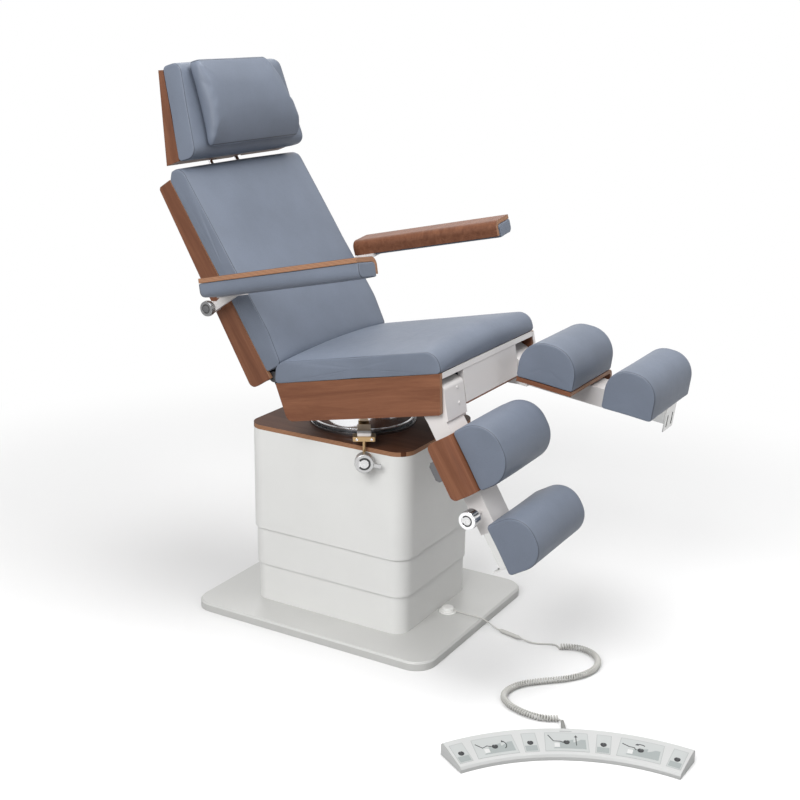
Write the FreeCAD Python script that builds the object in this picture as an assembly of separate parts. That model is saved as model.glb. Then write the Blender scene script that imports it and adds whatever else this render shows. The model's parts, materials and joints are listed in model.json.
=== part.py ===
import FreeCAD, Part
import math
import os

# Podiatry chair, +Z up, feet towards -Y, patient's right towards -X, origin on the floor under the base

# Driving dimensions in millimetres
base_width = 600
base_length = 750
base_height = 24
shroud_width = 394
shroud_length = 502
shroud_wall = 2.5
shroud_step = 4.8
shroud_corner = 50
lower_shroud_top = 284
middle_shroud_bottom = 132
middle_shroud_top = 400
upper_shroud_bottom = 240
upper_shroud_top = 528
ply_thickness = 12
seat_half_width = 265
seat_length = 494
seat_depth = 98
seat_slope_deg = 11.7
seat_rear_y = 103
seat_rear_z = 689
back_slope_deg = 57.4
back_foot_y = 124
back_foot_z = 707
back_length = 572
back_cushion_thickness = 52
seat_cushion_thickness = 57
leg_pivot_y = seat_rear_y - seat_length + 31
leg_pivot_z = seat_rear_z + 29
right_leg_deg = 59.3
left_leg_deg = 7.2
tilt_pin_y = 70
tilt_pin_z = 648
recline_pin_y = 122
recline_pin_z = 700
arm_pivot_y = 284
arm_pivot_z = 874
plate_thickness = 8
running_clearance = 0.05
sliding_clearance = 0.4
body_clearance = 0.3
overrun = 5
full_turn = 360
half_share = 0.5


def vec(x, y, z):
    return FreeCAD.Vector(x, y, z)


along_x = vec(1, 0, 0)
along_y = vec(0, 1, 0)
along_z = vec(0, 0, 1)


class Side:
    """A side-view frame: s runs along the part, n stands square to it, both in the YZ plane."""

    def __init__(self, y, z, angle_deg, front):
        turn = math.radians(angle_deg)
        self.y, self.z = y, z
        self.s = (front * math.cos(turn), math.sin(turn))
        self.n = (-front * self.s[1], front * self.s[0])

    def at(self, x, s, n):
        return vec(x, self.y + s * self.s[0] + n * self.n[0], self.z + s * self.s[1] + n * self.n[1])


seat = Side(seat_rear_y, seat_rear_z, seat_slope_deg, -1)
seat.n = (-seat.n[0], -seat.n[1]) if seat.n[1] < 0 else seat.n
back = Side(back_foot_y, back_foot_z, back_slope_deg, 1)
side_view = Side(0, 0, 0, 1)


def outline(points, radii):
    """A closed wire through the points, each corner rounded by its own tangent arc."""
    edges, joins = [], []
    count = len(points)
    for i in range(count):
        p, before, after = points[i], points[i - 1], points[(i + 1) % count]
        u, w = (before - p).normalize(), (after - p).normalize()
        radius = radii[i] if isinstance(radii, (list, tuple)) else radii
        if not radius:
            joins.append((p, p, p))
            continue
        half = math.acos(max(-1, min(1, u.dot(w)))) * half_share
        reach = radius / math.tan(half)
        middle = (u + w).normalize() * (radius / math.sin(half) - radius)
        joins.append((p + u * reach, p + middle, p + w * reach))
    for i in range(count):
        start, mid, end = joins[i]
        if (start - end).Length > 0:
            edges.append(Part.Arc(start, mid, end).toShape())
        nxt = joins[(i + 1) % count][0]
        if (nxt - end).Length > running_clearance * running_clearance:
            edges.append(Part.LineSegment(end, nxt).toShape())
    return Part.Wire(edges)


def slab(frame, x0, x1, points, radii=0):
    """A plate between two X planes with a side-view outline in the frame."""
    wire = outline([frame.at(x0, s, n) for s, n in points], radii)
    return Part.Face(wire).extrude(vec(x1 - x0, 0, 0))


def block(x0, x1, y0, y1, z0, z1):
    return Part.makeBox(x1 - x0, y1 - y0, z1 - z0, vec(x0, y0, z0))


def rounded_block(width, length, radius, z0, z1):
    a, b = width * half_share, length * half_share
    wire = outline([vec(-a, -b, z0), vec(a, -b, z0), vec(a, b, z0), vec(-a, b, z0)], radius)
    return Part.Face(wire).extrude(vec(0, 0, z1 - z0))


def rod(start, end, radius):
    line = end - start
    return Part.makeCylinder(radius, line.Length, start, line)


def ring(centre, z0, z1, outer, inner):
    body = Part.makeCylinder(outer, z1 - z0, centre + vec(0, 0, z0))
    return body.cut(Part.makeCylinder(inner, z1 - z0 + overrun + overrun, centre + vec(0, 0, z0 - overrun)))


def fuse(shapes):
    body = shapes[0]
    for other in shapes[1:]:
        body = body.fuse(other)
    return body.removeSplitter()


def loft_sections(sections):
    return Part.makeLoft(sections, True, True)


def save(name, shape):
    shape.exportStep("parts/" + name + ".step")


def mirrored(x0, x1, side):
    """The same pair of X planes on the right (-1) or left (+1) side, lower one first."""
    return (x0, x1) if side > 0 else (-x1, -x0)


# Base plate, shrouds and lift column
def base_plate():
    corner, rim = 58, 5
    body = rounded_block(base_width, base_length, corner, 0, base_height)
    top = [edge for edge in body.Edges if edge.CenterOfMass.z > base_height - overrun * running_clearance]
    return body.makeChamfer(rim, top)


def shroud(steps, z0, z1):
    inset = (shroud_step * steps) * 2
    outer = rounded_block(shroud_width - inset, shroud_length - inset, shroud_corner - inset / 2, z0, z1)
    inset += shroud_wall * 2
    inner = rounded_block(shroud_width - inset, shroud_length - inset, shroud_corner - inset / 2,
                          z0 - overrun, z1 + overrun)
    return outer.cut(inner)


inner_column_width = 130
column_wall = 8
middle_column_width = inner_column_width + (sliding_clearance + column_wall) * 2
outer_column_width = middle_column_width + (sliding_clearance + column_wall) * 2
head_plate_thickness = 6
inner_column_bottom = 251


def square_tube(width, wall, z0, z1):
    inner = width - wall * 2
    return rounded_block(width, width, 0, z0, z1).cut(rounded_block(inner, inner, 0, z0 - overrun, z1 + overrun))


def column_outer():
    motor_width, motor_length, motor_height = 70, 120, 90
    edge = outer_column_width * half_share
    motor = block(-motor_width * half_share, motor_width * half_share, edge, edge + motor_width,
                  base_height, base_height + motor_length)
    foot = rounded_block(outer_column_width + motor_height, outer_column_width + motor_width, 0,
                         base_height, base_height + plate_thickness)
    hole = rounded_block(middle_column_width, middle_column_width, 0, 0, base_height + motor_height)
    return fuse([square_tube(outer_column_width, column_wall, base_height, lower_shroud_top),
                 foot.cut(hole), motor])


def column_middle():
    ring_inset = (shroud_step + shroud_wall) * 2
    plate = rounded_block(shroud_width - ring_inset, shroud_length - ring_inset,
                          shroud_corner - ring_inset / 2, middle_shroud_top - head_plate_thickness,
                          middle_shroud_top)
    hole = rounded_block(middle_column_width, middle_column_width, 0, 0, upper_shroud_top)
    tube = square_tube(middle_column_width, column_wall, middle_shroud_bottom, middle_shroud_top)
    return fuse([tube, plate.cut(hole)])


def column_inner():
    inset = shroud_wall * 2
    plate = rounded_block(shroud_width - inset, shroud_length - inset, shroud_corner - shroud_wall,
                          upper_shroud_top - head_plate_thickness, upper_shroud_top)
    tube = square_tube(inner_column_width, column_wall, inner_column_bottom, upper_shroud_top)
    return fuse([plate, tube])


panel_top = upper_shroud_top + ply_thickness


def top_panel():
    return rounded_block(shroud_width, shroud_length, shroud_corner, upper_shroud_top, panel_top)


def power_inlet():
    centre, width, depth, height, bottom = 80, 48, 26, 28, base_height
    wall, pin_radius, pin_reach, pin_pitch = 3, 2, 8, 9
    rear = base_length * half_share - depth - pin_reach
    x0, x1 = centre - width * half_share, centre + width * half_share
    body = block(x0, x1, rear, rear + depth, bottom, bottom + height)
    body = body.cut(block(x0 + wall, x1 - wall, rear + wall, rear + depth + overrun,
                          bottom + wall, bottom + height - wall))
    middle = bottom + height * half_share
    pins = [rod(vec(centre + i * pin_pitch, rear + wall, middle),
                vec(centre + i * pin_pitch, rear + wall + pin_reach, middle), pin_radius) for i in (-1, 0, 1)]
    return fuse([body] + pins)


# Turntable and swivel lock
turntable_ring_radius = 147
turntable_ring_height = 7
turntable_neck_radius = 128
turntable_neck_height = 5.7
drum_radius = 141
drum_height = 39
drum_plate_radius = 125
drum_bottom = panel_top + turntable_ring_height + turntable_neck_height + body_clearance
drum_top = drum_bottom + drum_height
drum_plate_top = drum_top + plate_thickness
cheek_inner = 66
tilt_pin_radius = 8
actuator_pin_radius = 6
actuator_foot_y = -60
actuator_foot_z = 620
actuator_head_y = -330
actuator_head_z = 715
tube_half_width = 20
clevis_thickness = 6


def turntable_ring():
    z1 = panel_top + turntable_ring_height
    return fuse([Part.makeCylinder(turntable_ring_radius, turntable_ring_height, vec(0, 0, panel_top)),
                 Part.makeCylinder(turntable_neck_radius, turntable_neck_height, vec(0, 0, z1))])


def turntable_drum():
    cheek_reach, cheek_foot, lip = 16, 34, 3
    parts = [Part.makeCylinder(drum_radius - lip, drum_height, vec(0, 0, drum_bottom)),
             Part.makeCylinder(drum_radius, lip, vec(0, 0, drum_bottom)),
             Part.makeCylinder(drum_radius, lip, vec(0, 0, drum_top - lip)),
             Part.makeCylinder(drum_plate_radius, plate_thickness, vec(0, 0, drum_top))]
    for side in (-1, 1):
        x0, x1 = mirrored(cheek_inner, cheek_inner + plate_thickness, side)
        parts.append(slab(side_view, x0, x1,
                          [(tilt_pin_y - cheek_foot, drum_plate_top), (tilt_pin_y + cheek_foot, drum_plate_top),
                           (tilt_pin_y + cheek_reach, tilt_pin_z + cheek_reach),
                           (tilt_pin_y - cheek_reach, tilt_pin_z + cheek_reach)],
                          [0, 0, cheek_reach * half_share, cheek_reach * half_share]))
        x0, x1 = mirrored(tube_half_width + body_clearance, tube_half_width + clevis_thickness, side)
        reach = actuator_pin_radius * 2
        parts.append(slab(side_view, x0, x1,
                          [(actuator_foot_y - reach, drum_plate_top), (actuator_foot_y + reach * 2, drum_plate_top),
                           (actuator_foot_y + reach, actuator_foot_z + reach),
                           (actuator_foot_y - reach, actuator_foot_z + reach)],
                          [0, 0, reach * half_share, reach * half_share]))
    pin_reach = seat_lug_inner + plate_thickness + clevis_thickness
    parts.append(rod(vec(-pin_reach, tilt_pin_y, tilt_pin_z), vec(pin_reach, tilt_pin_y, tilt_pin_z),
                     tilt_pin_radius))
    clevis_reach = tube_half_width + clevis_thickness
    parts.append(rod(vec(-clevis_reach, actuator_foot_y, actuator_foot_z),
                     vec(clevis_reach, actuator_foot_y, actuator_foot_z), actuator_pin_radius))
    return fuse(parts)


lock_turn_deg = 32.7
lock_outer = 260
lock_depth = 33
lock_half = 29.5
lock_bottom = 562
lock_top = 574
lock_pad_half = 17.5
lock_pad_top = 582
lock_post_outer = 180
lock_post_inner = 153
lock_rod_reach = 251
lock_knob_z = 511
lock_knob_radius = 25
lock_knob_length = 26
lock_knob_face = 288
lock_stud_radius = 5


def turned_lock(shape):
    """The lock is drawn along -X and turned about the column's axis to its place."""
    shape.rotate(vec(0, 0, 0), along_z, lock_turn_deg)
    return shape


def swivel_lock_block():
    rod_radius, edge, pad_edge, pad_inset, stud_share = 4, 5, 3, 5, 0.4
    inner = lock_outer - lock_depth
    head = block(-lock_outer, -inner, -lock_half, lock_half, lock_bottom, lock_top)
    head = head.makeFillet(edge, [e for e in head.Edges if abs(e.tangentAt(e.FirstParameter).z) > half_share])
    pad = block(pad_inset - lock_outer, -inner - pad_inset, -lock_pad_half, lock_pad_half, lock_top, lock_pad_top)
    pad = pad.makeFillet(pad_edge, [e for e in pad.Edges if abs(e.tangentAt(e.FirstParameter).z) > half_share])
    arm = block(-inner - overrun, -lock_post_inner, -lock_pad_half, lock_pad_half, lock_bottom, lock_top)
    post = block(-lock_post_outer, -lock_post_inner, -lock_pad_half, lock_pad_half, panel_top, lock_bottom + overrun)
    upright = rod(vec(-lock_rod_reach, 0, lock_knob_z - lock_stud_radius * 2),
                  vec(-lock_rod_reach, 0, lock_bottom + overrun), rod_radius)
    stud = rod(vec(-lock_knob_face + lock_knob_length * stud_share, 0, lock_knob_z),
               vec(lock_stud_radius - lock_rod_reach, 0, lock_knob_z), lock_stud_radius)
    return turned_lock(fuse([head, pad, arm, post, upright, stud]))


def swivel_lock_knob():
    lever_reach, lever_half, lever_thickness, lever_setback, lever_drop_deg, flute = 44, 5, 6, 4, 12, 2
    x0, x1 = -lock_knob_face, -lock_knob_face + lock_knob_length
    body = rod(vec(x0, 0, lock_knob_z), vec(x1, 0, lock_knob_z), lock_knob_radius)
    body = body.makeChamfer(flute, [e for e in body.Edges if e.Closed])
    lever = block(x0 + lever_setback, x0 + lever_setback + lever_thickness, -lever_reach, 0,
                  lock_knob_z - lever_half, lock_knob_z + lever_half)
    lever.rotate(vec(0, 0, lock_knob_z), along_x, lever_drop_deg)
    bore = rod(vec(x0 + lever_setback, 0, lock_knob_z), vec(x1 + overrun, 0, lock_knob_z),
               lock_stud_radius + running_clearance)
    return turned_lock(fuse([body, lever]).cut(bore))


# Tilt actuator between the turntable and the seat
actuator_radius = 20
actuator_bore = 15
actuator_rod_radius = 10
actuator_span = math.hypot(actuator_head_y - actuator_foot_y, actuator_head_z - actuator_foot_z)
actuator = Side(actuator_foot_y, actuator_foot_z, math.degrees(
    math.atan2(actuator_head_z - actuator_foot_z, actuator_foot_y - actuator_head_y)), -1)
actuator_bottom = 30
actuator_tube_end = 185
rod_tail = 72
rod_eye_half = 12


def actuator_tube():
    eye = actuator_pin_radius * 2
    body = rod(actuator.at(0, eye * half_share, 0), actuator.at(0, actuator_tube_end, 0), actuator_radius)
    body = body.cut(rod(actuator.at(0, actuator_bottom, 0), actuator.at(0, actuator_tube_end + overrun, 0),
                        actuator_bore))
    lug = rod(actuator.at(-tube_half_width, 0, 0), actuator.at(tube_half_width, 0, 0), eye)
    return fuse([body, lug]).cut(rod(actuator.at(-actuator_radius - overrun, 0, 0),
                                     actuator.at(actuator_radius + overrun, 0, 0),
                                     actuator_pin_radius + running_clearance))


def actuator_rod():
    eye = actuator_pin_radius * 2
    body = rod(actuator.at(0, rod_tail, 0), actuator.at(0, actuator_span - eye * half_share, 0), actuator_rod_radius)
    head = rod(vec(-rod_eye_half, actuator_head_y, actuator_head_z),
               vec(rod_eye_half, actuator_head_y, actuator_head_z), eye)
    bore = rod(vec(-eye - overrun, actuator_head_y, actuator_head_z),
               vec(eye + overrun, actuator_head_y, actuator_head_z), actuator_pin_radius + running_clearance)
    return fuse([body, head]).cut(bore)


# Seat
seat_lug_inner = 80
apron_inner = seat_half_width - ply_thickness
rail_inner = 110
rail_width = 30
rail_depth = 60
deck_front = seat_length - 18
notch_start = deck_front - 88
panel_half = 148
leg_inner = 150.6
leg_outer = 250
leg_pin_radius = 10
leg_s = (leg_pivot_y - seat_rear_y) * seat.s[0] + (leg_pivot_z - seat_rear_z) * seat.s[1]
leg_n = (leg_pivot_y - seat_rear_y) * seat.n[0] + (leg_pivot_z - seat_rear_z) * seat.n[1]
leg_root_radius = 62
recline_pin_radius = 8
ear_inner = 226
ear_thickness = 10
lug_thickness = 10


def seat_frame():
    ear_radius, cross_depth, rod_lug_inner = 13, 36, 14
    cross_places = [(66, 90), (232, 258)]
    deck = slab(seat, -apron_inner, apron_inner, [(0, 0), (deck_front, 0), (deck_front, -plate_thickness),
                                                  (0, -plate_thickness)])
    parts = [deck]
    for side in (-1, 1):
        x0, x1 = mirrored(panel_half, apron_inner + overrun, side)
        parts[0] = parts[0].cut(slab(seat, x0, x1, [(notch_start, overrun), (deck_front + overrun, overrun),
                                                    (deck_front + overrun, -overrun * 2 - plate_thickness),
                                                    (notch_start, -overrun * 2 - plate_thickness)]))
    for side in (-1, 1):
        x0, x1 = mirrored(rail_inner, rail_inner + rail_width, side)
        rail = slab(seat, x0, x1, [(cross_places[0][0], -plate_thickness), (deck_front, -plate_thickness),
                                   (deck_front, leg_n - leg_pin_radius * 2),
                                   (deck_front - rail_depth, leg_n - leg_pin_radius * 2),
                                   (notch_start - rail_depth, -rail_depth * half_share - plate_thickness),
                                   (cross_places[0][0], -rail_depth * half_share - plate_thickness)])
        parts.append(rail)
        x0, x1 = mirrored(rail_inner + rail_width, apron_inner, side)
        parts.append(rod(seat.at(x0, leg_s, leg_n), seat.at(x1, leg_s, leg_n), leg_pin_radius))
        x0, x1 = mirrored(seat_lug_inner, seat_lug_inner + plate_thickness, side)
        pin = vec(x0, tilt_pin_y, tilt_pin_z)
        half_lug = tilt_pin_radius * 2
        lug_s = (tilt_pin_y - seat_rear_y) * seat.s[0] + (tilt_pin_z - seat_rear_z) * seat.s[1]
        lug_n = (tilt_pin_y - seat_rear_y) * seat.n[0] + (tilt_pin_z - seat_rear_z) * seat.n[1]
        lug = slab(seat, x0, x1, [(lug_s - half_lug, -plate_thickness), (lug_s + half_lug * 2, -plate_thickness),
                                  (lug_s + half_lug, lug_n - half_lug), (lug_s - half_lug, lug_n - half_lug)],
                   [0, 0, half_lug * half_share, half_lug * half_share])
        parts.append(lug.cut(rod(pin - vec(overrun, 0, 0), pin + vec(plate_thickness + overrun, 0, 0),
                                 tilt_pin_radius + running_clearance)))
        x0, x1 = mirrored(ear_inner, ear_inner + ear_thickness, side)
        axis_s = (recline_pin_y - seat_rear_y) * seat.s[0] + (recline_pin_z - seat_rear_z) * seat.s[1]
        axis_n = (recline_pin_y - seat_rear_y) * seat.n[0] + (recline_pin_z - seat_rear_z) * seat.n[1]
        parts.append(slab(seat, x0, x1, [(plate_thickness * 3, 0), (plate_thickness * 3, -plate_thickness * 3),
                                         (axis_s - ear_radius * half_share, -plate_thickness),
                                         (axis_s - ear_radius, axis_n), (axis_s, axis_n + ear_radius),
                                         (axis_s + ear_radius, axis_n - ear_radius)]))
        x0, x1 = mirrored(ear_inner - lug_thickness - body_clearance, ear_inner + ear_thickness + lug_thickness, side)
        parts.append(rod(vec(x0, recline_pin_y, recline_pin_z), vec(x1, recline_pin_y, recline_pin_z),
                         recline_pin_radius))
        x0, x1 = mirrored(rod_lug_inner, rod_lug_inner + plate_thickness, side)
        head_s = (actuator_head_y - seat_rear_y) * seat.s[0] + (actuator_head_z - seat_rear_z) * seat.s[1]
        head_n = (actuator_head_y - seat_rear_y) * seat.n[0] + (actuator_head_z - seat_rear_z) * seat.n[1]
        reach = actuator_pin_radius * 2
        parts.append(slab(seat, x0, x1, [(head_s - reach, -plate_thickness), (head_s + reach, -plate_thickness),
                                         (head_s + reach, head_n - reach), (head_s - reach, head_n - reach)],
                          [0, 0, reach * half_share, reach * half_share]))
    pin_half = rod_lug_inner + plate_thickness
    parts.append(rod(vec(-pin_half, actuator_head_y, actuator_head_z),
                     vec(pin_half, actuator_head_y, actuator_head_z), actuator_pin_radius))
    for s0, s1 in cross_places:
        parts.append(slab(seat, -apron_inner, apron_inner, [(s0, -plate_thickness), (s1, -plate_thickness),
                                                            (s1, -cross_depth), (s0, -cross_depth)]))
    return fuse(parts)


def seat_aprons():
    inset, corner, extra = 17, 20, 4
    low = -seat_depth - extra
    points = [(0, 0), (seat_length, 0), (seat_length - inset, low), (inset, low)]
    return Part.makeCompound([slab(seat, *mirrored(apron_inner, seat_half_width, side), points,
                                   [0, 0, overrun, corner]) for side in (-1, 1)])


def seat_front_panel():
    """A folded white sheet below the cushion's nose, with a floor that runs back under the frame."""
    skin, band_depth, board_s, board_depth = 2.5, 14, 400, 10
    face = slab(seat, -panel_half, panel_half, [(deck_front, 0), (seat_length, 0),
                                                (seat_length - board_depth * half_share, -seat_depth),
                                                (deck_front, -seat_depth)])
    face = face.cut(slab(seat, overrun - panel_half, panel_half - overrun,
                         [(deck_front + skin, -skin), (seat_length - skin, -skin),
                          (seat_length - board_depth - overrun, -seat_depth + board_depth),
                          (deck_front + skin, -seat_depth + board_depth)]))
    band = slab(seat, -apron_inner, apron_inner, [(seat_length - skin, 0), (seat_length, 0),
                                                  (seat_length, -band_depth), (seat_length - skin, -band_depth)])
    floor = slab(seat, -panel_half, panel_half, [(board_s, -seat_depth), (deck_front, -seat_depth),
                                                 (deck_front, -seat_depth + board_depth),
                                                 (board_s, -seat_depth + board_depth)])
    return fuse([face, band, floor])


def padded_form(frame, centre_x, half_width, profile, rounding, draw, crown):
    """A cushion: side-view sections along X that draw in at the ends and swell to a crown between."""
    width_shares = [-1, -0.93, -0.6, 0, 0.6, 0.93, 1]
    sections = []
    for share in width_shares:
        swell = crown * (1 - share * share)
        pull = draw if abs(share) == 1 else 0
        middle_s = sum(p[0] for p in profile) / len(profile)
        middle_n = sum(p[1] for p in profile) / len(profile)
        points = []
        for s, n, lift in profile:
            s_in = s + (pull if s < middle_s else -pull)
            n_in = n + (pull if n < middle_n else -pull) * lift + swell * lift
            points.append(frame.at(centre_x + share * half_width, s_in, n_in))
        radii = [max(r - pull, body_clearance) for r in rounding]
        sections.append(outline(points, radii))
    return loft_sections(sections)


seat_cushion_rear = 14
seat_cushion_front = seat_length + 3
cushion_crown = 12
piping_draw = 6


def seat_cushion():
    nose, heel, edge = 38, 32, 5
    profile = [(seat_cushion_rear, body_clearance, 0), (seat_cushion_front, body_clearance, 0),
               (seat_cushion_front, seat_cushion_thickness, 1), (seat_cushion_rear, seat_cushion_thickness, 1)]
    return padded_form(seat, 0, seat_half_width, profile, [edge + piping_draw, edge + piping_draw, nose, heel],
                       piping_draw, cushion_crown)


# Backrest
shell_inner = seat_half_width - ply_thickness - body_clearance
shell_foot = -8
shell_depth_bottom = 70.6
shell_depth_top = 44
shell_skin = 6
back_rail_inner = 196
back_rail_outer = 225.7
back_rail_front = 5
back_rail_depth = 38
head_rod_x = 58
head_rod_radius = 6
head_rod_bottom = 268
guide_places = [(350, 374), (455, 479)]
head_pivot_y = 472
head_pivot_z = 1235
head_rod_top = (head_pivot_y - back_foot_y) * back.s[0] + (head_pivot_z - back_foot_z) * back.s[1]
head_rod_n = (head_pivot_y - back_foot_y) * back.n[0] + (head_pivot_z - back_foot_z) * back.n[1]
head_cross_radius = 7
arm_s = (arm_pivot_y - back_foot_y) * back.s[0] + (arm_pivot_z - back_foot_z) * back.s[1]
arm_n = (arm_pivot_y - back_foot_y) * back.n[0] + (arm_pivot_z - back_foot_z) * back.n[1]
arm_shaft_radius = 8
arm_boss_radius = 16


def shell_depth(s):
    share = (s - shell_foot) / (back_length - shell_foot)
    return shell_depth_bottom + (shell_depth_top - shell_depth_bottom) * share


def back_shell():
    corner, top_corner = 18, 9
    outer = [(shell_foot, 0), (back_length, 0), (back_length, -shell_depth_top), (shell_foot, -shell_depth_bottom)]
    body = slab(back, -seat_half_width, seat_half_width, outer, [0, 0, top_corner, corner])
    inner = [(shell_foot - overrun, overrun), (back_length - ply_thickness, overrun),
             (back_length - ply_thickness, shell_skin - shell_depth_top),
             (shell_foot - overrun, shell_skin - shell_depth_bottom)]
    body = body.cut(slab(back, -shell_inner, shell_inner, inner))
    hole = arm_shaft_radius + overrun * half_share
    for side in (-1, 1):
        x0, x1 = mirrored(shell_inner - overrun, seat_half_width + overrun, side)
        body = body.cut(rod(back.at(x0, arm_s, arm_n), back.at(x1, arm_s, arm_n), hole))
        slot_half = head_rod_radius * 2
        body = body.cut(slab(back, side * head_rod_x - slot_half, side * head_rod_x + slot_half,
                             [(back_length - ply_thickness - overrun, overrun), (back_length + overrun, overrun),
                              (back_length + overrun, head_rod_n - slot_half),
                              (back_length - ply_thickness - overrun, head_rod_n - slot_half)]))
    return body


def back_frame():
    cross_depth, foot_s = 30, 10
    top_s = back_length - plate_thickness * 4
    parts = []
    for side in (-1, 1):
        x0, x1 = mirrored(back_rail_inner, back_rail_outer, side)
        parts.append(slab(back, x0, x1, [(foot_s, -back_rail_front), (top_s, -back_rail_front),
                                         (top_s, -back_rail_depth), (foot_s, -back_rail_depth)]))
        axis_s = (recline_pin_y - back_foot_y) * back.s[0] + (recline_pin_z - back_foot_z) * back.s[1]
        axis_n = (recline_pin_y - back_foot_y) * back.n[0] + (recline_pin_z - back_foot_z) * back.n[1]
        reach = recline_pin_radius * 2 - body_clearance * overrun
        for lug_start in (ear_inner - body_clearance - lug_thickness,
                          ear_inner + ear_thickness + body_clearance):
            x0, x1 = mirrored(lug_start, lug_start + lug_thickness, side)
            lug = fuse([rod(vec(x0, recline_pin_y, recline_pin_z), vec(x1, recline_pin_y, recline_pin_z), reach),
                        slab(back, x0, x1, [(axis_s, axis_n), (foot_s * 3, -back_rail_front),
                                            (foot_s * 4, -back_rail_depth), (foot_s, -back_rail_depth),
                                            (axis_s - reach * half_share, axis_n - reach * half_share)])])
            parts.append(lug.cut(rod(vec(x0 - overrun, recline_pin_y, recline_pin_z),
                                     vec(x1 + overrun, recline_pin_y, recline_pin_z),
                                     recline_pin_radius + running_clearance)))
        x0, x1 = mirrored(back_rail_inner, ear_inner + ear_thickness + lug_thickness, side)
        parts.append(slab(back, x0, x1, [(foot_s * 3, -back_rail_front - overrun), (foot_s * 5, -back_rail_front - overrun),
                                         (foot_s * 5, -back_rail_depth), (foot_s * 3, -back_rail_depth)]))
        x0, x1 = mirrored(back_rail_outer - overrun, shell_inner - body_clearance, side)
        parts.append(rod(back.at(x0, arm_s, arm_n), back.at(x1, arm_s, arm_n), arm_boss_radius)
                     .common(slab(back, x0, x1, [(0, 0), (back_length, 0),
                                                 (back_length, shell_skin + overrun * half_share - shell_depth(back_length)),
                                                 (0, shell_skin + overrun * half_share - shell_depth(0))])))
    for s0, s1, front in [(*place, body_clearance) for place in guide_places] + [(foot_s * 4, foot_s * 7,
                                                                                   back_rail_front)]:
        parts.append(slab(back, -back_rail_inner, back_rail_inner, [(s0, -front), (s1, -front), (s1, -cross_depth),
                                                                    (s0, -cross_depth)]))
    body = fuse(parts)
    for side in (-1, 1):
        x = side * head_rod_x
        body = body.cut(rod(back.at(x, head_rod_bottom, head_rod_n),
                            back.at(x, back_length, head_rod_n), head_rod_radius + running_clearance))
        x0, x1 = mirrored(back_rail_inner - overrun, shell_inner + overrun, side)
        body = body.cut(rod(back.at(x0, arm_s, arm_n), back.at(x1, arm_s, arm_n),
                            arm_shaft_radius + running_clearance))
    return body


def back_cushion():
    s0, front_over, lumbar_s, lumbar, end, edge = 16, 16, 100, 13, 36, 5
    s1 = back_length + front_over
    profile = [(s0, body_clearance, 0), (s1 - front_over, body_clearance, 0), (s1, front_over, 0),
               (s1, back_cushion_thickness, 1), (lumbar_s, back_cushion_thickness + lumbar, 1),
               (s0, back_cushion_thickness, 1)]
    rounding = [edge + piping_draw, edge + piping_draw, edge + piping_draw, end - piping_draw, end * 5, end]
    return padded_form(back, 0, seat_half_width, profile, rounding, piping_draw, cushion_crown * half_share)


# Headrest
head_top_half = 220
head_bottom_half = 250
head = Side(412, 1238, 73.5, 1)
head_hub_radius = 11
head_cross_half = 80


def headrest_rods():
    parts = [rod(vec(-head_cross_half, head_pivot_y, head_pivot_z), vec(head_cross_half, head_pivot_y, head_pivot_z),
                 head_cross_radius)]
    for side in (-1, 1):
        x = side * head_rod_x
        parts.append(rod(back.at(x, head_rod_bottom, head_rod_n), back.at(x, head_rod_top, head_rod_n),
                         head_rod_radius))
    return fuse(parts)


def headrest_panel():
    """A wedge of ply that narrows upwards, with a pivot channel across its lower rear."""
    rear_top, front_top, rear_bottom, front_bottom = (494, 1463), (479, 1464), (453, 1222), (412, 1238)
    pivot_half, wall = 92, 7
    sides = [rear_bottom, front_bottom, front_top, rear_top]
    body = slab(side_view, -head_bottom_half, head_bottom_half, sides, [0, 0, 0, 0])
    slope = head_bottom_half - head_top_half
    for side in (-1, 1):
        far = head_bottom_half + overrun * 2
        wedge = Part.makePolygon([vec(side * head_bottom_half, 0, front_bottom[1] - ply_thickness * 2),
                                  vec(side * far, 0, front_bottom[1] - ply_thickness * 2),
                                  vec(side * far, 0, front_top[1] + overrun),
                                  vec(side * (head_bottom_half - slope), 0, front_top[1] + overrun),
                                  vec(side * head_bottom_half, 0, front_bottom[1] - ply_thickness * 2)])
        body = body.cut(Part.Face(wedge).extrude(vec(0, seat_length * 2, 0)))
    boss = rod(vec(-head_rod_x + head_hub_radius, head_pivot_y, head_pivot_z),
               vec(head_rod_x - head_hub_radius, head_pivot_y, head_pivot_z), head_hub_radius + wall)
    channel = rod(vec(-pivot_half, head_pivot_y, head_pivot_z), vec(pivot_half, head_pivot_y, head_pivot_z),
                  head_cross_radius + overrun)
    slots = []
    for side in (-1, 1):
        x = side * head_rod_x
        slots.append(slab(side_view, x - head_hub_radius, x + head_hub_radius,
                          [(head_pivot_y - head_hub_radius * 4, head_pivot_z - head_hub_radius * 4),
                           (head_pivot_y + head_hub_radius * 4, head_pivot_z - head_hub_radius * 4),
                           (head_pivot_y + head_hub_radius * 4, head_pivot_z + head_hub_radius),
                           (head_pivot_y - head_hub_radius * 2, head_pivot_z + head_hub_radius)]))
    body = fuse([body.cut(channel), boss])
    for slot in slots:
        body = body.cut(slot)
    return body.cut(rod(vec(-pivot_half, head_pivot_y, head_pivot_z), vec(pivot_half, head_pivot_y, head_pivot_z),
                        head_cross_radius + running_clearance))


head_cushion_thickness = 60


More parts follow.
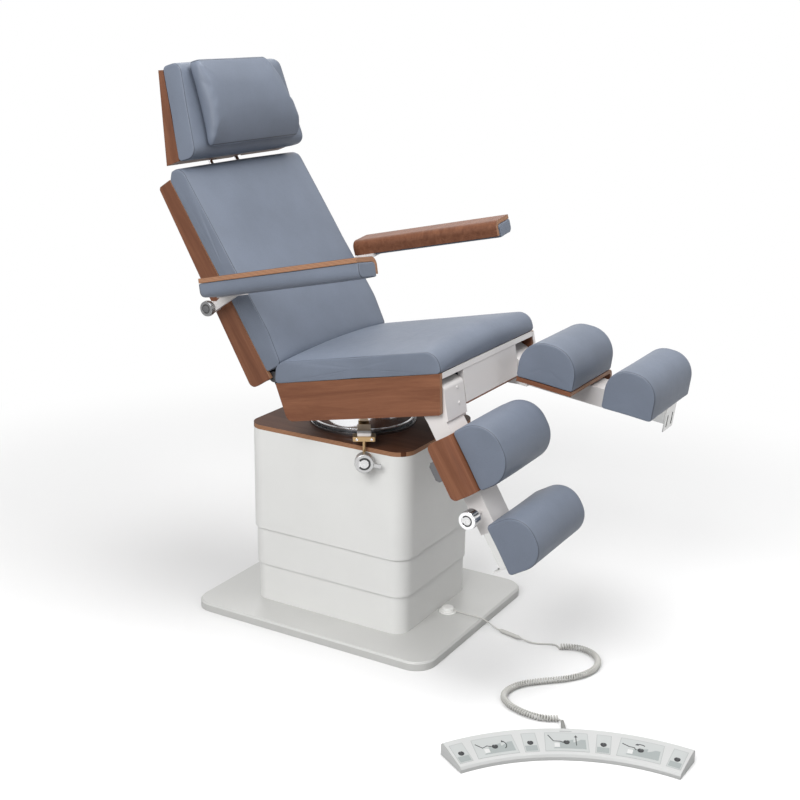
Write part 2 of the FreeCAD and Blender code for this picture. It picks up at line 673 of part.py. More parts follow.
def headrest_cushion():
    s0, s1, end, edge, narrowing_share = -3, 245, 28, 6, 0.87
    sections = []
    for width_share in (-1, -0.9, 0, 0.9, 1):
        pull = piping_draw if abs(width_share) == 1 else 0
        swell = cushion_crown * half_share * (1 - width_share * width_share)
        x0 = head_bottom_half * width_share
        x1 = x0 * narrowing_share
        points = [head.at(x0, s0 + pull, body_clearance), head.at(x1, s1 - pull, body_clearance),
                  head.at(x1, s1 - pull, head_cushion_thickness - pull + swell),
                  head.at(x0, s0 + pull, head_cushion_thickness - pull + swell)]
        sections.append(outline(points, [edge, edge, end, end]))
    return loft_sections(sections)


# Rows of the loose pillow from its lower edge up: height, left end, right end and thickness
pillow_rows = ((17, -192, 186, 9), (30, -200, 196, 22), (64, -197, 189, 40), (110, -194, 170, 47),
               (180, -194, 138, 46), (222, -196, 116, 38), (233, -188, 108, 24))


def head_pillow():
    """A soft boxed pillow, bevelled below, with its upper left corner pulled in."""
    corner, corner_share = 13, 0.42
    n0 = head_cushion_thickness + cushion_crown * half_share + body_clearance
    sections = []
    for s, left, right, thickness in pillow_rows:
        radius = min(corner, thickness * corner_share)
        sections.append(outline([head.at(left, s, n0), head.at(right, s, n0), head.at(right, s, n0 + thickness),
                                 head.at(left, s, n0 + thickness)], [radius] * 4))
    return loft_sections(sections)


# Armrests: a bent ply shell, its top plate turned down along the inner side, round a pad below it
board_width = 86
board_outer_x = 398
board_outer_z = 1025.6
board_roll_deg = 6.6
board_slope_deg = 12.5
board_front_reach = 232
board_rear_reach = 245
board_bend = 22
board_drop = 42
arm_pad_depth = 37
hub_outer_x = 300
arm_knob_radius = 20
arm_knob_length = 15
arm_stud_radius = 5


def board_place(side):
    """The placement of an arm shell: X outwards from its inner face, Y along it, Z up through its top plate."""
    roll, slope = math.radians(board_roll_deg), math.radians(board_slope_deg)
    long_way = vec(0, side * math.cos(slope), -side * math.sin(slope))
    outward = vec(side * math.cos(roll), 0, math.sin(roll))
    outward = (outward - long_way * outward.dot(long_way)).normalize()
    turn = FreeCAD.Rotation(outward, long_way, outward.cross(long_way), "ZXY")
    return FreeCAD.Placement(vec(side * board_outer_x, 0, board_outer_z) - outward * board_width, turn)


def board_reaches(side):
    """The two ends of an arm shell along its own Y, which points forwards only on the right."""
    return (-board_rear_reach, board_front_reach) if side < 0 else (-board_front_reach, board_rear_reach)


def armrest_board(side):
    start, end = board_reaches(side)
    spots = [(0, 0), (board_width, 0), (board_width, -ply_thickness), (ply_thickness, -ply_thickness),
             (ply_thickness, -board_drop), (0, -board_drop)]
    wire = outline([vec(w, start, m) for w, m in spots], [board_bend, 0, 0, board_bend - ply_thickness, 0, 0])
    return Part.Face(wire).extrude(vec(0, end - start, 0))


def armrest_pad(side):
    outer_inset, past_end, corner, soft_end = 2, 4, 15, 16
    start, end = board_reaches(side)
    start, end = start - past_end, end + past_end
    top, low = -ply_thickness - body_clearance, -ply_thickness - arm_pad_depth
    inner, outer = ply_thickness + body_clearance, board_width - outer_inset
    pad_corner = board_bend - ply_thickness + body_clearance
    sections = []
    for y, pull in ((start, soft_end * half_share), (start + soft_end, 0), (end - soft_end, 0),
                    (end, soft_end * half_share)):
        points = [vec(inner, y, top), vec(outer - pull, y, top), vec(outer - pull, y, low + pull * half_share),
                  vec(inner, y, low + pull * half_share)]
        sections.append(outline(points, [pad_corner, body_clearance * overrun, corner, body_clearance * overrun]))
    return loft_sections(sections)


def armrest_bracket(side):
    """A hub on the back's shaft, a flat arm and a folded plate under the arm shell's edge and pad."""
    plate_inner, plate_outer, plate_drop, skin, riser_thickness, hub_radius, cone_radius = 24, 34, 11, 3.5, 8, 18, 12
    plate_start, plate_end = 180, 236
    slope = math.radians(board_slope_deg)
    start, end = (-plate_end, -plate_start) if side < 0 else (plate_start, plate_end)
    low, pad_low = -board_drop - plate_drop, -ply_thickness - arm_pad_depth - body_clearance
    spots = [(-plate_inner, -board_drop), (ply_thickness, -board_drop), (ply_thickness, pad_low),
             (plate_outer, pad_low), (plate_outer, pad_low - skin), (-plate_inner, low)]
    flange = Part.Face(outline([vec(w, start, m) for w, m in spots], 0)).extrude(vec(0, end - start, 0))
    flange.Placement = board_place(side)
    riser_far = hub_outer_x - riser_thickness
    inner_z = board_outer_z - board_width * math.sin(math.radians(board_roll_deg)) - board_drop
    front_y, back_y = plate_start * math.cos(slope), plate_end * math.cos(slope)

    def under(y):
        return inner_z - math.tan(slope) * y - plate_drop * half_share

    x0, x1 = mirrored(riser_far, hub_outer_x, side)
    riser = slab(side_view, x0, x1, [(arm_pivot_y, arm_pivot_z - hub_radius),
                                     (arm_pivot_y + hub_radius * half_share, arm_pivot_z - cone_radius),
                                     (back_y + riser_thickness, under(back_y)), (front_y, under(front_y))])
    cone_start = seat_half_width + body_clearance
    cone = Part.makeCone(cone_radius, hub_radius, hub_outer_x - cone_start,
                         vec(side * cone_start, arm_pivot_y, arm_pivot_z), vec(side, 0, 0))
    shaft_in = back_rail_inner
    shaft = rod(vec(side * shaft_in, arm_pivot_y, arm_pivot_z),
                vec(side * cone_start, arm_pivot_y, arm_pivot_z), arm_shaft_radius)
    stud = rod(vec(side * hub_outer_x, arm_pivot_y, arm_pivot_z),
               vec(side * (hub_outer_x + arm_knob_length * half_share), arm_pivot_y, arm_pivot_z), arm_stud_radius)
    return fuse([flange, riser, cone, shaft, stud])


def knob(side, x, y, z, radius, length, stud_radius, stud_length):
    """A turned knob on a stud: rounded rim, shallow dished face, blind bore."""
    rim, dish, dish_share = 2.5, 1.5, 0.62
    start = x + body_clearance
    body = Part.makeCylinder(radius, length, vec(side * start, y, z), vec(side, 0, 0))
    body = body.makeFillet(rim, [e for e in body.Edges if e.Closed])
    face = Part.makeCylinder(radius * dish_share, dish + overrun,
                             vec(side * (start + length - dish), y, z), vec(side, 0, 0))
    bore = Part.makeCylinder(stud_radius + running_clearance, stud_length + body_clearance,
                             vec(side * x, y, z), vec(side, 0, 0))
    return body.cut(face).cut(bore)


# Leg rests
arm_tube_inner = 164
arm_tube_top = 3
arm_tube_depth = 50
arm_tube_wall = 4
arm_tube_end = 349
slide_start = 150
slide_end = 445
leg_knob_s = 295
leg_knob_n = -22
leg_knob_radius = 23
leg_knob_length = 24
leg_stud_length = 60
leg_stud_radius = 6
pad_inner_x = 14
pad_outer_x = 276
heel_outer_x = 296
calf_pad_start = 88
calf_pad_end = 246
calf_pad_base = 22
calf_pad_height = 107
heel_pad_start = 326
heel_pad_end = 459
heel_pad_height = 112


def leg_arm(side, leg):
    root_back, root_front, root_end, mount_top, mount_s0, mount_s1 = 36, 44, 66, 10.4, 110, 225
    cover_high, cover_low, cover_end = 38.5, 8, 62
    low = arm_tube_top - arm_tube_depth
    x0, x1 = mirrored(leg_inner, leg_outer, side)
    root = slab(leg, x0, x1, [(-root_back, low + overrun), (0, low - overrun), (root_front, low), (root_end, low),
                              (root_end, arm_tube_top), (cover_end, arm_tube_top), (cover_end, cover_low),
                              (-root_back * half_share, cover_high), (-root_back - overrun, cover_high * half_share)],
                [16, 30, 0, 0, 0, 0, 0, 16, 18])
    x0, x1 = mirrored(arm_tube_inner, leg_outer, side)
    tube = slab(leg, x0, x1, [(root_front, low), (arm_tube_end, low), (arm_tube_end, arm_tube_top),
                              (root_front, arm_tube_top)])
    wall = arm_tube_wall
    x0, x1 = mirrored(arm_tube_inner + wall, leg_outer - wall, side)
    hollow = slab(leg, x0, x1, [(root_end, low + wall), (arm_tube_end + overrun, low + wall),
                                (arm_tube_end + overrun, arm_tube_top - wall), (root_end, arm_tube_top - wall)])
    x0, x1 = mirrored(arm_tube_inner + wall, leg_outer - wall, side)
    mount = slab(leg, x0, x1, [(mount_s0, arm_tube_top), (mount_s1, arm_tube_top), (mount_s1, mount_top),
                               (mount_s0, mount_top)])
    stud = rod(leg.at(side * (leg_outer - wall), leg_knob_s, leg_knob_n),
               leg.at(side * (leg_outer + leg_stud_length), leg_knob_s, leg_knob_n), leg_stud_radius)
    pin_hole = rod(leg.at(side * (leg_inner - overrun), 0, 0), leg.at(side * (leg_outer + overrun), 0, 0),
                   leg_pin_radius + running_clearance)
    return fuse([root.cut(pin_hole), tube.cut(hollow), mount, stud])


def leg_slide(side, leg):
    """The inner tube with its slotted steel end plate and the carrier that runs back over the arm."""
    end_thickness, end_low, end_half, carrier_gap, carrier_thickness, carrier_start = 3, -66, 35, 0.4, 2.3, 333
    slot_half, slot_low, slot_high = 4, -57, -24
    gap = sliding_clearance + arm_tube_wall
    low, high = arm_tube_top - arm_tube_depth + gap, arm_tube_top - gap
    x0, x1 = mirrored(arm_tube_inner + gap, leg_outer - gap, side)
    tube = slab(leg, x0, x1, [(slide_start, low), (slide_end, low), (slide_end, high), (slide_start, high)])
    wall = arm_tube_wall
    x0, x1 = mirrored(arm_tube_inner + gap + wall, leg_outer - gap - wall, side)
    tube = tube.cut(slab(leg, x0, x1, [(slide_start - overrun, low + wall), (slide_end, low + wall),
                                       (slide_end, high - wall), (slide_start - overrun, high - wall)]))
    middle = (arm_tube_inner + leg_outer) * half_share
    x0, x1 = mirrored(middle - end_half, middle + end_half, side)
    top = arm_tube_top + carrier_gap + carrier_thickness
    plate = slab(leg, x0, x1, [(slide_end, end_low), (slide_end + end_thickness, end_low),
                               (slide_end + end_thickness, top), (slide_end, top)])
    for way in (-1, 1):
        centre = side * middle + way * end_half * half_share
        plate = plate.cut(slab(leg, centre - slot_half, centre + slot_half,
                               [(slide_end - overrun, slot_low), (slide_end + overrun, slot_low),
                                (slide_end + overrun, slot_high), (slide_end - overrun, slot_high)]))
    carrier = slab(leg, x0, x1, [(carrier_start, top - carrier_thickness), (slide_end, top - carrier_thickness),
                                 (slide_end, top), (carrier_start, top)])
    return fuse([tube, plate, carrier])


def calf_saddle(side, leg):
    """Bent ply: a flat plate under the calf pad that turns down into an outer flange."""
    inset, thickness, bend, flange_low, flange_x, corner = 3, 11, 28, -48, 300, 16
    s0, s1, top = calf_pad_start + inset, calf_pad_end - inset, calf_pad_base - body_clearance
    spots = [(pad_inner_x, top), (flange_x, top), (flange_x, flange_low), (flange_x - thickness, flange_low),
             (flange_x - thickness, top - thickness), (pad_inner_x, top - thickness)]
    wire = outline([leg.at(side * x, s0, n) for x, n in spots], [0, bend, 0, 0, bend - thickness, 0])
    run = leg.at(0, s1, 0) - leg.at(0, s0, 0)
    body = Part.Face(wire).extrude(run)
    cuts = []
    for s, way in ((s0, 1), (s1, -1)):
        x0, x1 = mirrored(flange_x - thickness - overrun, flange_x + overrun, side)
        square = slab(leg, x0, x1, [(s - way * overrun, flange_low - overrun), (s + way * corner, flange_low - overrun),
                                    (s + way * corner, flange_low + corner), (s - way * overrun, flange_low + corner)])
        cuts.append(square.cut(rod(leg.at(x0 - overrun, s + way * corner, flange_low + corner),
                                   leg.at(x1 + overrun, s + way * corner, flange_low + corner), corner)))
    for cut in cuts:
        body = body.cut(cut)
    return body


def limb_pad(side, leg, outer_x, s0, s1, n0, height):
    """A D-shaped pad lying across the leg: flat below, arched above, drawn in at its ends."""
    low_corner, arch_share, draw = 10, 0.46, 9
    sections = []
    centre = side * (pad_inner_x + outer_x) * half_share
    half = (outer_x - pad_inner_x) * half_share
    for share in (-1, -0.9, 0, 0.9, 1):
        pull = draw if abs(share) == 1 else 0
        arch = (s1 - s0) * arch_share - pull
        points = [leg.at(centre + share * half, s0 + pull, n0 + body_clearance),
                  leg.at(centre + share * half, s1 - pull, n0 + body_clearance),
                  leg.at(centre + share * half, s1 - pull, n0 + height - pull),
                  leg.at(centre + share * half, s0 + pull, n0 + height - pull)]
        sections.append(outline(points, [low_corner, low_corner, arch, arch]))
    return loft_sections(sections)


# Foot control: a bow-shaped housing round its own centre, with seven buttons on a sloping top
control_x = -889.8
control_y = -1074.4
control_way_deg = 28.75
control_outer = 567
control_inner = 478
control_half_deg = 30.5
control_height = 34
control_front_height = 12
button_circle = 518
button_radius = 7.5
button_step_deg = 9.3
button_travel = 2.5
button_depth = 9


def control_point(radius, angle_deg, z):
    turn = math.radians(control_way_deg + angle_deg)
    return vec(control_x + radius * math.cos(turn), control_y + radius * math.sin(turn), z)


def control_top(radius):
    rise = (radius - control_inner) / (control_outer - control_inner)
    return control_front_height + (control_height - control_front_height) * rise


def foot_control_housing():
    rim, rear_lip = 4, 8
    spots = [(control_inner, 0), (control_outer, 0), (control_outer, control_height - rear_lip),
             (control_outer - rear_lip, control_height - rear_lip * running_clearance),
             (control_inner + rim, control_front_height + rim * half_share), (control_inner, control_front_height - rim)]
    wire = outline([vec(r, 0, z) for r, z in spots], [0, 0, rim, rim, rim, half_share])
    body = Part.Face(wire)
    body.rotate(vec(0, 0, 0), along_z, control_way_deg - control_half_deg)
    body.translate(vec(control_x, control_y, 0))
    body = body.revolve(vec(control_x, control_y, 0), along_z, control_half_deg * 2)
    for i in range(-3, 4):
        foot = button_seat(i) - vec(0, 0, button_depth)
        body = body.cut(Part.makeCylinder(button_radius + body_clearance, button_depth * 2 + overrun, foot))
    return body


def button_seat(i):
    return control_point(button_circle, i * button_step_deg, control_top(button_circle))


def foot_button(i):
    proud, rim = 2.5, 1
    foot = button_seat(i) - vec(0, 0, button_depth - button_travel - body_clearance)
    body = Part.makeCylinder(button_radius, button_depth - button_travel + proud, foot)
    top = [e for e in body.Edges if e.Closed and e.CenterOfMass.z > foot.z + proud]
    return body.makeFillet(rim, top)


# Cord of the foot control: gland, thin lead, inline connector, lead, curly cord, strain relief
lead_radius = 2
coil_wire_radius = 2
coil_radius = 6.4
coil_turns = 96
relief_length = 58
relief_height = 14
gland_x = 14
gland_y = -272
gland_radius = 17
gland_height = 14


def smooth_route(points):
    """Straight runs joined by tangent arcs, each as large as its two runs allow."""
    run_share = 0.45
    joins = [(points[0], None, points[0])]
    radii = []
    for before, p, after in zip(points, points[1:], points[2:]):
        u, w = (before - p).normalize(), (after - p).normalize()
        half = math.acos(max(-1, min(1, u.dot(w)))) * half_share
        reach = min((before - p).Length, (after - p).Length) * run_share
        radius = reach * math.tan(half)
        radii.append(radius)
        middle = (u + w).normalize() * (radius / math.sin(half) - radius)
        joins.append((p + u * reach, p + middle, p + w * reach))
    joins.append((points[-1], None, points[-1]))
    edges = []
    for (start, mid, end), nxt in zip(joins, joins[1:] + [None]):
        if mid is not None:
            edges.append(Part.Arc(start, mid, end).toShape())
        if nxt is not None:
            edges.append(Part.LineSegment(end, nxt[0]).toShape())
    return Part.Wire(edges), radii


def cord_tube(points, radius, name):
    wire, radii = smooth_route(points)
    section = Part.Wire(Part.makeCircle(radius, points[0], points[1] - points[0]))
    body = wire.makePipeShell([section], True, False)
    ideal = math.pi * radius * radius * wire.Length
    print(name, "length", round(wire.Length, 1), "least radius", round(min(radii), 1),
          "volume share", round(body.Volume / ideal, 4))
    return body


connector_start = vec(20, -428, 5.8)
connector_end = vec(5, -500, 5.8)
gland_lead_points = [vec(14, -284, 31), vec(14, -304, 31), vec(13, -331, 30.5), vec(15, -358, 30),
                     vec(17.5, -381, 27.5), vec(21, -401, 16), vec(22.6, -415.5, 5.8), connector_start]
coil_lead_points = [connector_end, vec(2.5, -512, 5.8), vec(2.5, -530, 3), vec(7, -547, 2.3), vec(15, -562, 2.3),
                    vec(22.5, -576, 2.3), vec(26.5, -590, 2.5), vec(23.3, -600.7, 2.5), vec(14.8, -609.2, 2.5)]
coil_route_points = [vec(12, -612, 8.9), vec(27, -633, 8.9), vec(34.5, -666, 8.9), vec(25, -700, 8.9), vec(2, -724, 8.9),
                     vec(-30, -737, 8.9), vec(-66, -737, 8.9), vec(-102, -723, 8.9), vec(-137, -698, 8.9),
                     vec(-168, -665, 8.9), vec(-198, -632, 8.9), vec(-226, -608, 8.9), vec(-258, -596, 8.9),
                     vec(-288, -594, 8.9), vec(-313, -605, 8.9), vec(-333, -629, 8.9), vec(-345, -664, 8.9),
                     vec(-349, -700, 8.9), vec(-343, -732, 8.9), vec(-327, -757, 8.9)]


def cable_gland():
    dome = 5
    foot = vec(gland_x, gland_y, base_height)
    body = Part.makeCylinder(gland_radius, gland_height, foot)
    body = body.makeFillet(dome, [e for e in body.Edges if e.Closed and e.CenterOfMass.z > foot.z + dome])
    start = gland_lead_points[0]
    inside = start + vec(0, gland_radius, 0)
    return body.cut(rod(start - vec(0, gland_radius, 0), inside, lead_radius + body_clearance)
                    .common(block(gland_x - gland_radius, gland_x + gland_radius, start.y - gland_radius, start.y,
                                  0, gland_height * overrun)))


def inline_connector():
    outer_radius, taper = 5.5, 9
    way = (connector_end - connector_start).normalize()
    body = rod(connector_start + way * taper, connector_end - way * taper, outer_radius)
    tails = [Part.makeCone(lead_radius + half_share, outer_radius, taper, connector_start, way),
             Part.makeCone(lead_radius + half_share, outer_radius, taper, connector_end, way * -1)]
    return fuse([body] + tails)


def strain_relief():
    root_radius, tip_radius = 6.5, 3.8
    start = control_point(control_outer, 0, relief_height)
    end = control_point(control_outer + relief_length, 0, relief_height)
    body = Part.makeCone(root_radius, tip_radius, relief_length, start, end - start)
    return body.cut(Part.makeCylinder(coil_wire_radius + body_clearance, relief_length * half_share,
                                      end - (end - start) * half_share * half_share, end - start))


def coil_frame(wire_edges, lengths, distance):
    """The point and direction on the coil's centre line at a distance along it."""
    remaining = distance
    for edge, length in zip(wire_edges, lengths):
        if remaining <= length or edge is wire_edges[-1]:
            parameter = edge.getParameterByLength(min(remaining, length))
            return edge.valueAt(parameter), edge.tangentAt(parameter).normalize()
        remaining -= length
    return None


def biarc(p0, t0, p1, t1):
    """Two arcs that join two points with given directions."""
    chord = p1 - p0
    both = t0 + t1
    a = 2 * (1 - t0.dot(t1))
    b = 2 * chord.dot(both)
    c = -chord.dot(chord)
    d = (-b + math.sqrt(b * b - 4 * a * c)) / (2 * a) if a > running_clearance ** 4 else -c / b
    join = (p0 + t0 * d + p1 - t1 * d) * half_share
    arcs = []
    for start, way, end in ((p0, t0, join), (p1, t1 * -1, join)):
        straight = end - start
        side = straight - way * straight.dot(way)
        radius = straight.dot(straight) / (2 * side.Length)
        centre = start + side.normalize() * radius
        bow = ((start + end) * half_share - centre).normalize() * radius
        arcs.append((start, centre + bow, end))
    second = arcs[1]
    return [Part.Arc(*arcs[0]).toShape(), Part.Arc(second[2], second[1], second[0]).toShape()]


def curly_cord():
    steps_per_turn = 2
    route, radii = smooth_route(coil_route_points)
    edges = route.OrderedEdges
    lengths = [edge.Length for edge in edges]
    total = sum(lengths)
    pitch = total / coil_turns

    def helix(turns):
        """The helix point and direction after a number of turns, starting at the lowest point."""
        centre, way = coil_frame(edges, lengths, turns * pitch)
        across = way.cross(along_z).normalize()
        angle = math.radians(turns * full_turn)
        out = along_z * -math.cos(angle) + across * math.sin(angle)
        round_way = along_z * math.sin(angle) + across * math.cos(angle)
        return centre + out * coil_radius, way * pitch + round_way * (coil_radius * 2 * math.pi)

    spots = [helix(i / steps_per_turn) for i in range(coil_turns * steps_per_turn + 1)]
    spots = [(p, t.normalize()) for p, t in spots]
    first, first_way = spots[0]
    path = [Part.LineSegment(first - first_way * (coil_wire_radius * 2), first).toShape()]
    for (p0, t0), (p1, t1) in zip(spots, spots[1:]):
        path += biarc(p0, t0, p1, t1)
    last, last_way = spots[-1]
    tip = control_point(control_outer + relief_length, 0, relief_height)
    inward = (control_point(control_outer, 0, relief_height) - tip).normalize()
    path += biarc(last, last_way, tip - inward * (coil_wire_radius * 2), inward)
    path.append(Part.LineSegment(tip - inward * (coil_wire_radius * 2), tip).toShape())
    wire = Part.Wire(path)
    section = Part.Wire(Part.makeCircle(coil_wire_radius, first - first_way * (coil_wire_radius * 2), first_way))
    body = wire.makePipeShell([section], True, False)
    ideal = math.pi * coil_wire_radius ** 2 * wire.Length
    fine = [helix(i / 12)[0] for i in range(coil_turns * 12 + 1)]
    gap = min((fine[i] - fine[j]).Length for i in range(len(fine)) for j in range(i + 9, min(i + 16, len(fine))))
    print("curly cord centre line", round(total, 1), "wire", round(wire.Length, 1), "least bend",
          round(min(radii), 1), "volume share", round(body.Volume / ideal, 4),
          "least gap to itself", round(gap - coil_wire_radius * 2, 2))
    print("curly cord starts", [round(v, 1) for v in path[0].Vertexes[0].Point],
          [round(v, 3) for v in first_way])
    return body


def main():
    os.makedirs("parts", exist_ok=True)
    save("base_plate", base_plate())
    save("shroud_lower", shroud(2, base_height, lower_shroud_top))
    save("shroud_middle", shroud(1, middle_shroud_bottom, middle_shroud_top))
    save("shroud_upper", shroud(0, upper_shroud_bottom, upper_shroud_top))
    save("column_outer", column_outer())
    save("column_middle", column_middle())
    save("column_inner", column_inner())
    save("pedestal_top_panel", top_panel())
    save("power_inlet", power_inlet())
    save("turntable_ring", turntable_ring())
    save("turntable_drum", turntable_drum())
    save("swivel_lock_block", swivel_lock_block())
    save("swivel_lock_knob", swivel_lock_knob())
    save("tilt_actuator_tube", actuator_tube())
    save("tilt_actuator_rod", actuator_rod())
    save("seat_frame", seat_frame())
    save("seat_aprons", seat_aprons())
    save("seat_front_panel", seat_front_panel())
    save("seat_cushion", seat_cushion())
    save("back_frame", back_frame())
    save("back_shell", back_shell())
    save("back_cushion", back_cushion())
    save("headrest_rods", headrest_rods())
    save("headrest_panel", headrest_panel())
    save("headrest_cushion", headrest_cushion())
    save("head_pillow", head_pillow())
    for side, name in ((-1, "right"), (1, "left")):
        for piece, shape in (("armrest_board_", armrest_board(side)), ("armrest_pad_", armrest_pad(side))):
            shape.Placement = board_place(side)
            save(piece + name, shape)
        save("armrest_bracket_" + name, armrest_bracket(side))
        save("armrest_knob_" + name, knob(side, hub_outer_x, arm_pivot_y, arm_pivot_z, arm_knob_radius,
                                          arm_knob_length, arm_stud_radius, arm_knob_length * half_share))
        leg = Side(leg_pivot_y, leg_pivot_z, -(right_leg_deg if side < 0 else left_leg_deg), -1)
        heel_top = arm_tube_top + sliding_clearance + shroud_wall
        spot = leg.at(0, leg_knob_s, leg_knob_n)
        save("leg_arm_" + name, leg_arm(side, leg))
        save("leg_slide_" + name, leg_slide(side, leg))
        save("calf_saddle_" + name, calf_saddle(side, leg))
        save("calf_pad_" + name, limb_pad(side, leg, pad_outer_x, calf_pad_start, calf_pad_end,
                                            calf_pad_base, calf_pad_height))
        save("heel_pad_" + name, limb_pad(side, leg, heel_outer_x, heel_pad_start, heel_pad_end,
                                            heel_top, heel_pad_height))
        save("leg_knob_" + name, knob(side, leg_outer + leg_stud_length - leg_knob_length, spot.y, spot.z,
                                      leg_knob_radius, leg_knob_length + plate_thickness, leg_stud_radius,
                                      leg_knob_length))
    save("foot_control_housing", foot_control_housing())
    for i in range(-3, 4):
        save("button_" + str(i + 4), foot_button(i))
    save("cable_gland", cable_gland())
    save("gland_lead", cord_tube(gland_lead_points, lead_radius, "gland lead"))
    save("inline_connector", inline_connector())
    save("coil_lead", cord_tube(coil_lead_points, lead_radius, "coil lead"))
    save("strain_relief", strain_relief())
    save("curly_cord", curly_cord())


main()
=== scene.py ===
import json
import math

import bmesh
import bpy
import numpy as np
from mathutils import Matrix, Vector


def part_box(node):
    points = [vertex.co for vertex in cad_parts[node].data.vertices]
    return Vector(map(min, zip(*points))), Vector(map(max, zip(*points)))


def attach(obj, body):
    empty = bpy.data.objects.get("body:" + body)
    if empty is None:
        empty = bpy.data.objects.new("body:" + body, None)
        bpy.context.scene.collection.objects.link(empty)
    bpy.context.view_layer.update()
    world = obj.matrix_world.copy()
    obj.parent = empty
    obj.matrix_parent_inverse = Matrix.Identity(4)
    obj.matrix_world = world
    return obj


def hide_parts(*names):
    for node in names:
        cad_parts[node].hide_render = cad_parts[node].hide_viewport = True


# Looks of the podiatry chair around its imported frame, in metres and the frame's own axes
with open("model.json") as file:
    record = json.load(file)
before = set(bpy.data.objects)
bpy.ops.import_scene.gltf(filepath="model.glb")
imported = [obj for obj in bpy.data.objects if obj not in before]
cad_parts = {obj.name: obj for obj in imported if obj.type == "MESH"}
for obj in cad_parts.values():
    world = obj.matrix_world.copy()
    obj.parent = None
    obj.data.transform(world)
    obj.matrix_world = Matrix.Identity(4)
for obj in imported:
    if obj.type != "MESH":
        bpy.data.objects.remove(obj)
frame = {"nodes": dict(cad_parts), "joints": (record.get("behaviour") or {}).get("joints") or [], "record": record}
nodes = frame["nodes"]
joints = {joint["name"]: joint for joint in frame["joints"]}
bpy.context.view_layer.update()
MM = 0.001
SIDES = ((-1, "right"), (1, "left"))


def add_object(name, data):
    piece = bpy.data.objects.new(name, data)
    bpy.context.scene.collection.objects.link(piece)
    return piece


# Camera at the photograph's place
CAMERA_PLACE = (-2.923, -1.8215, 1.6343)
CAMERA_YAW, CAMERA_PITCH, CAMERA_ROLL = 0.5279, 0.2928, 0.0139
CAMERA_LENS = 59.007


def add_camera():
    forward = Vector((math.cos(CAMERA_YAW) * math.cos(CAMERA_PITCH),
                      math.sin(CAMERA_YAW) * math.cos(CAMERA_PITCH), -math.sin(CAMERA_PITCH)))
    right = Vector((math.sin(CAMERA_YAW), -math.cos(CAMERA_YAW), 0))
    up = right.cross(forward)
    turned_right = right * math.cos(CAMERA_ROLL) + up * math.sin(CAMERA_ROLL)
    turned_up = up * math.cos(CAMERA_ROLL) - right * math.sin(CAMERA_ROLL)
    data = bpy.data.cameras.new("camera")
    data.lens = CAMERA_LENS
    data.clip_end = 50
    camera = add_object("camera", data)
    camera.matrix_world = Matrix((
        (turned_right.x, turned_up.x, -forward.x, CAMERA_PLACE[0]),
        (turned_right.y, turned_up.y, -forward.y, CAMERA_PLACE[1]),
        (turned_right.z, turned_up.z, -forward.z, CAMERA_PLACE[2]),
        (0, 0, 0, 1)))
    bpy.context.scene.camera = camera


# Node helpers for the materials
def new_material(name):
    material = bpy.data.materials.new(name)
    material.use_nodes = True
    tree = material.node_tree
    return material, tree, tree.nodes["Principled BSDF"]


def vector_maths(tree, operation, vector):
    node = tree.nodes.new("ShaderNodeVectorMath")
    node.operation = operation
    tree.links.new(vector, node.inputs[0])
    return node


def mapped(tree, scale=(1, 1, 1), turn=None):
    """Object coordinates, turned so that X runs along the grain, then scaled."""
    coords = tree.nodes.new("ShaderNodeTexCoord")
    mapping = tree.nodes.new("ShaderNodeMapping")
    tree.links.new(coords.outputs["Object"], mapping.inputs["Vector"])
    if turn is not None:
        mapping.inputs["Rotation"].default_value = turn.to_euler("XYZ")
    stretch = vector_maths(tree, "MULTIPLY", mapping.outputs["Vector"])
    stretch.inputs[1].default_value = scale
    return stretch.outputs["Vector"]


def noise(tree, vector, scale, detail=4, roughness=0.55, distortion=0):
    node = tree.nodes.new("ShaderNodeTexNoise")
    tree.links.new(vector, node.inputs["Vector"])
    node.inputs["Scale"].default_value = scale
    node.inputs["Detail"].default_value = detail
    node.inputs["Roughness"].default_value = roughness
    node.inputs["Distortion"].default_value = distortion
    return node.outputs["Fac"]


def voronoi(tree, vector, scale):
    node = tree.nodes.new("ShaderNodeTexVoronoi")
    tree.links.new(vector, node.inputs["Vector"])
    node.inputs["Scale"].default_value = scale
    return node.outputs["Distance"]


def ramp(tree, value, stops):
    node = tree.nodes.new("ShaderNodeValToRGB")
    tree.links.new(value, node.inputs["Fac"])
    elements = node.color_ramp.elements
    while len(elements) < len(stops):
        elements.new(0.5)
    for element, (place, colour) in zip(elements, stops):
        element.position = place
        element.color = (*colour, 1)
    return node.outputs["Color"]


def span(tree, value, low, high):
    """Maps 0..1 onto low..high."""
    node = tree.nodes.new("ShaderNodeMapRange")
    tree.links.new(value, node.inputs["Value"])
    node.inputs["To Min"].default_value = low
    node.inputs["To Max"].default_value = high
    return node.outputs["Result"]


def maths(tree, operation, first, second):
    node = tree.nodes.new("ShaderNodeMath")
    node.operation = operation
    for socket, value in zip(node.inputs, (first, second)):
        if isinstance(value, (int, float)):
            socket.default_value = value
        else:
            tree.links.new(value, socket)
    return node.outputs["Value"]


def mix(tree, factor, first, second):
    node = tree.nodes.new("ShaderNodeMix")
    node.data_type = "RGBA"
    tree.links.new(factor, node.inputs[0])
    for socket, value in ((node.inputs[6], first), (node.inputs[7], second)):
        if isinstance(value, tuple):
            socket.default_value = (*value, 1)
        else:
            tree.links.new(value, socket)
    return node.outputs[2]


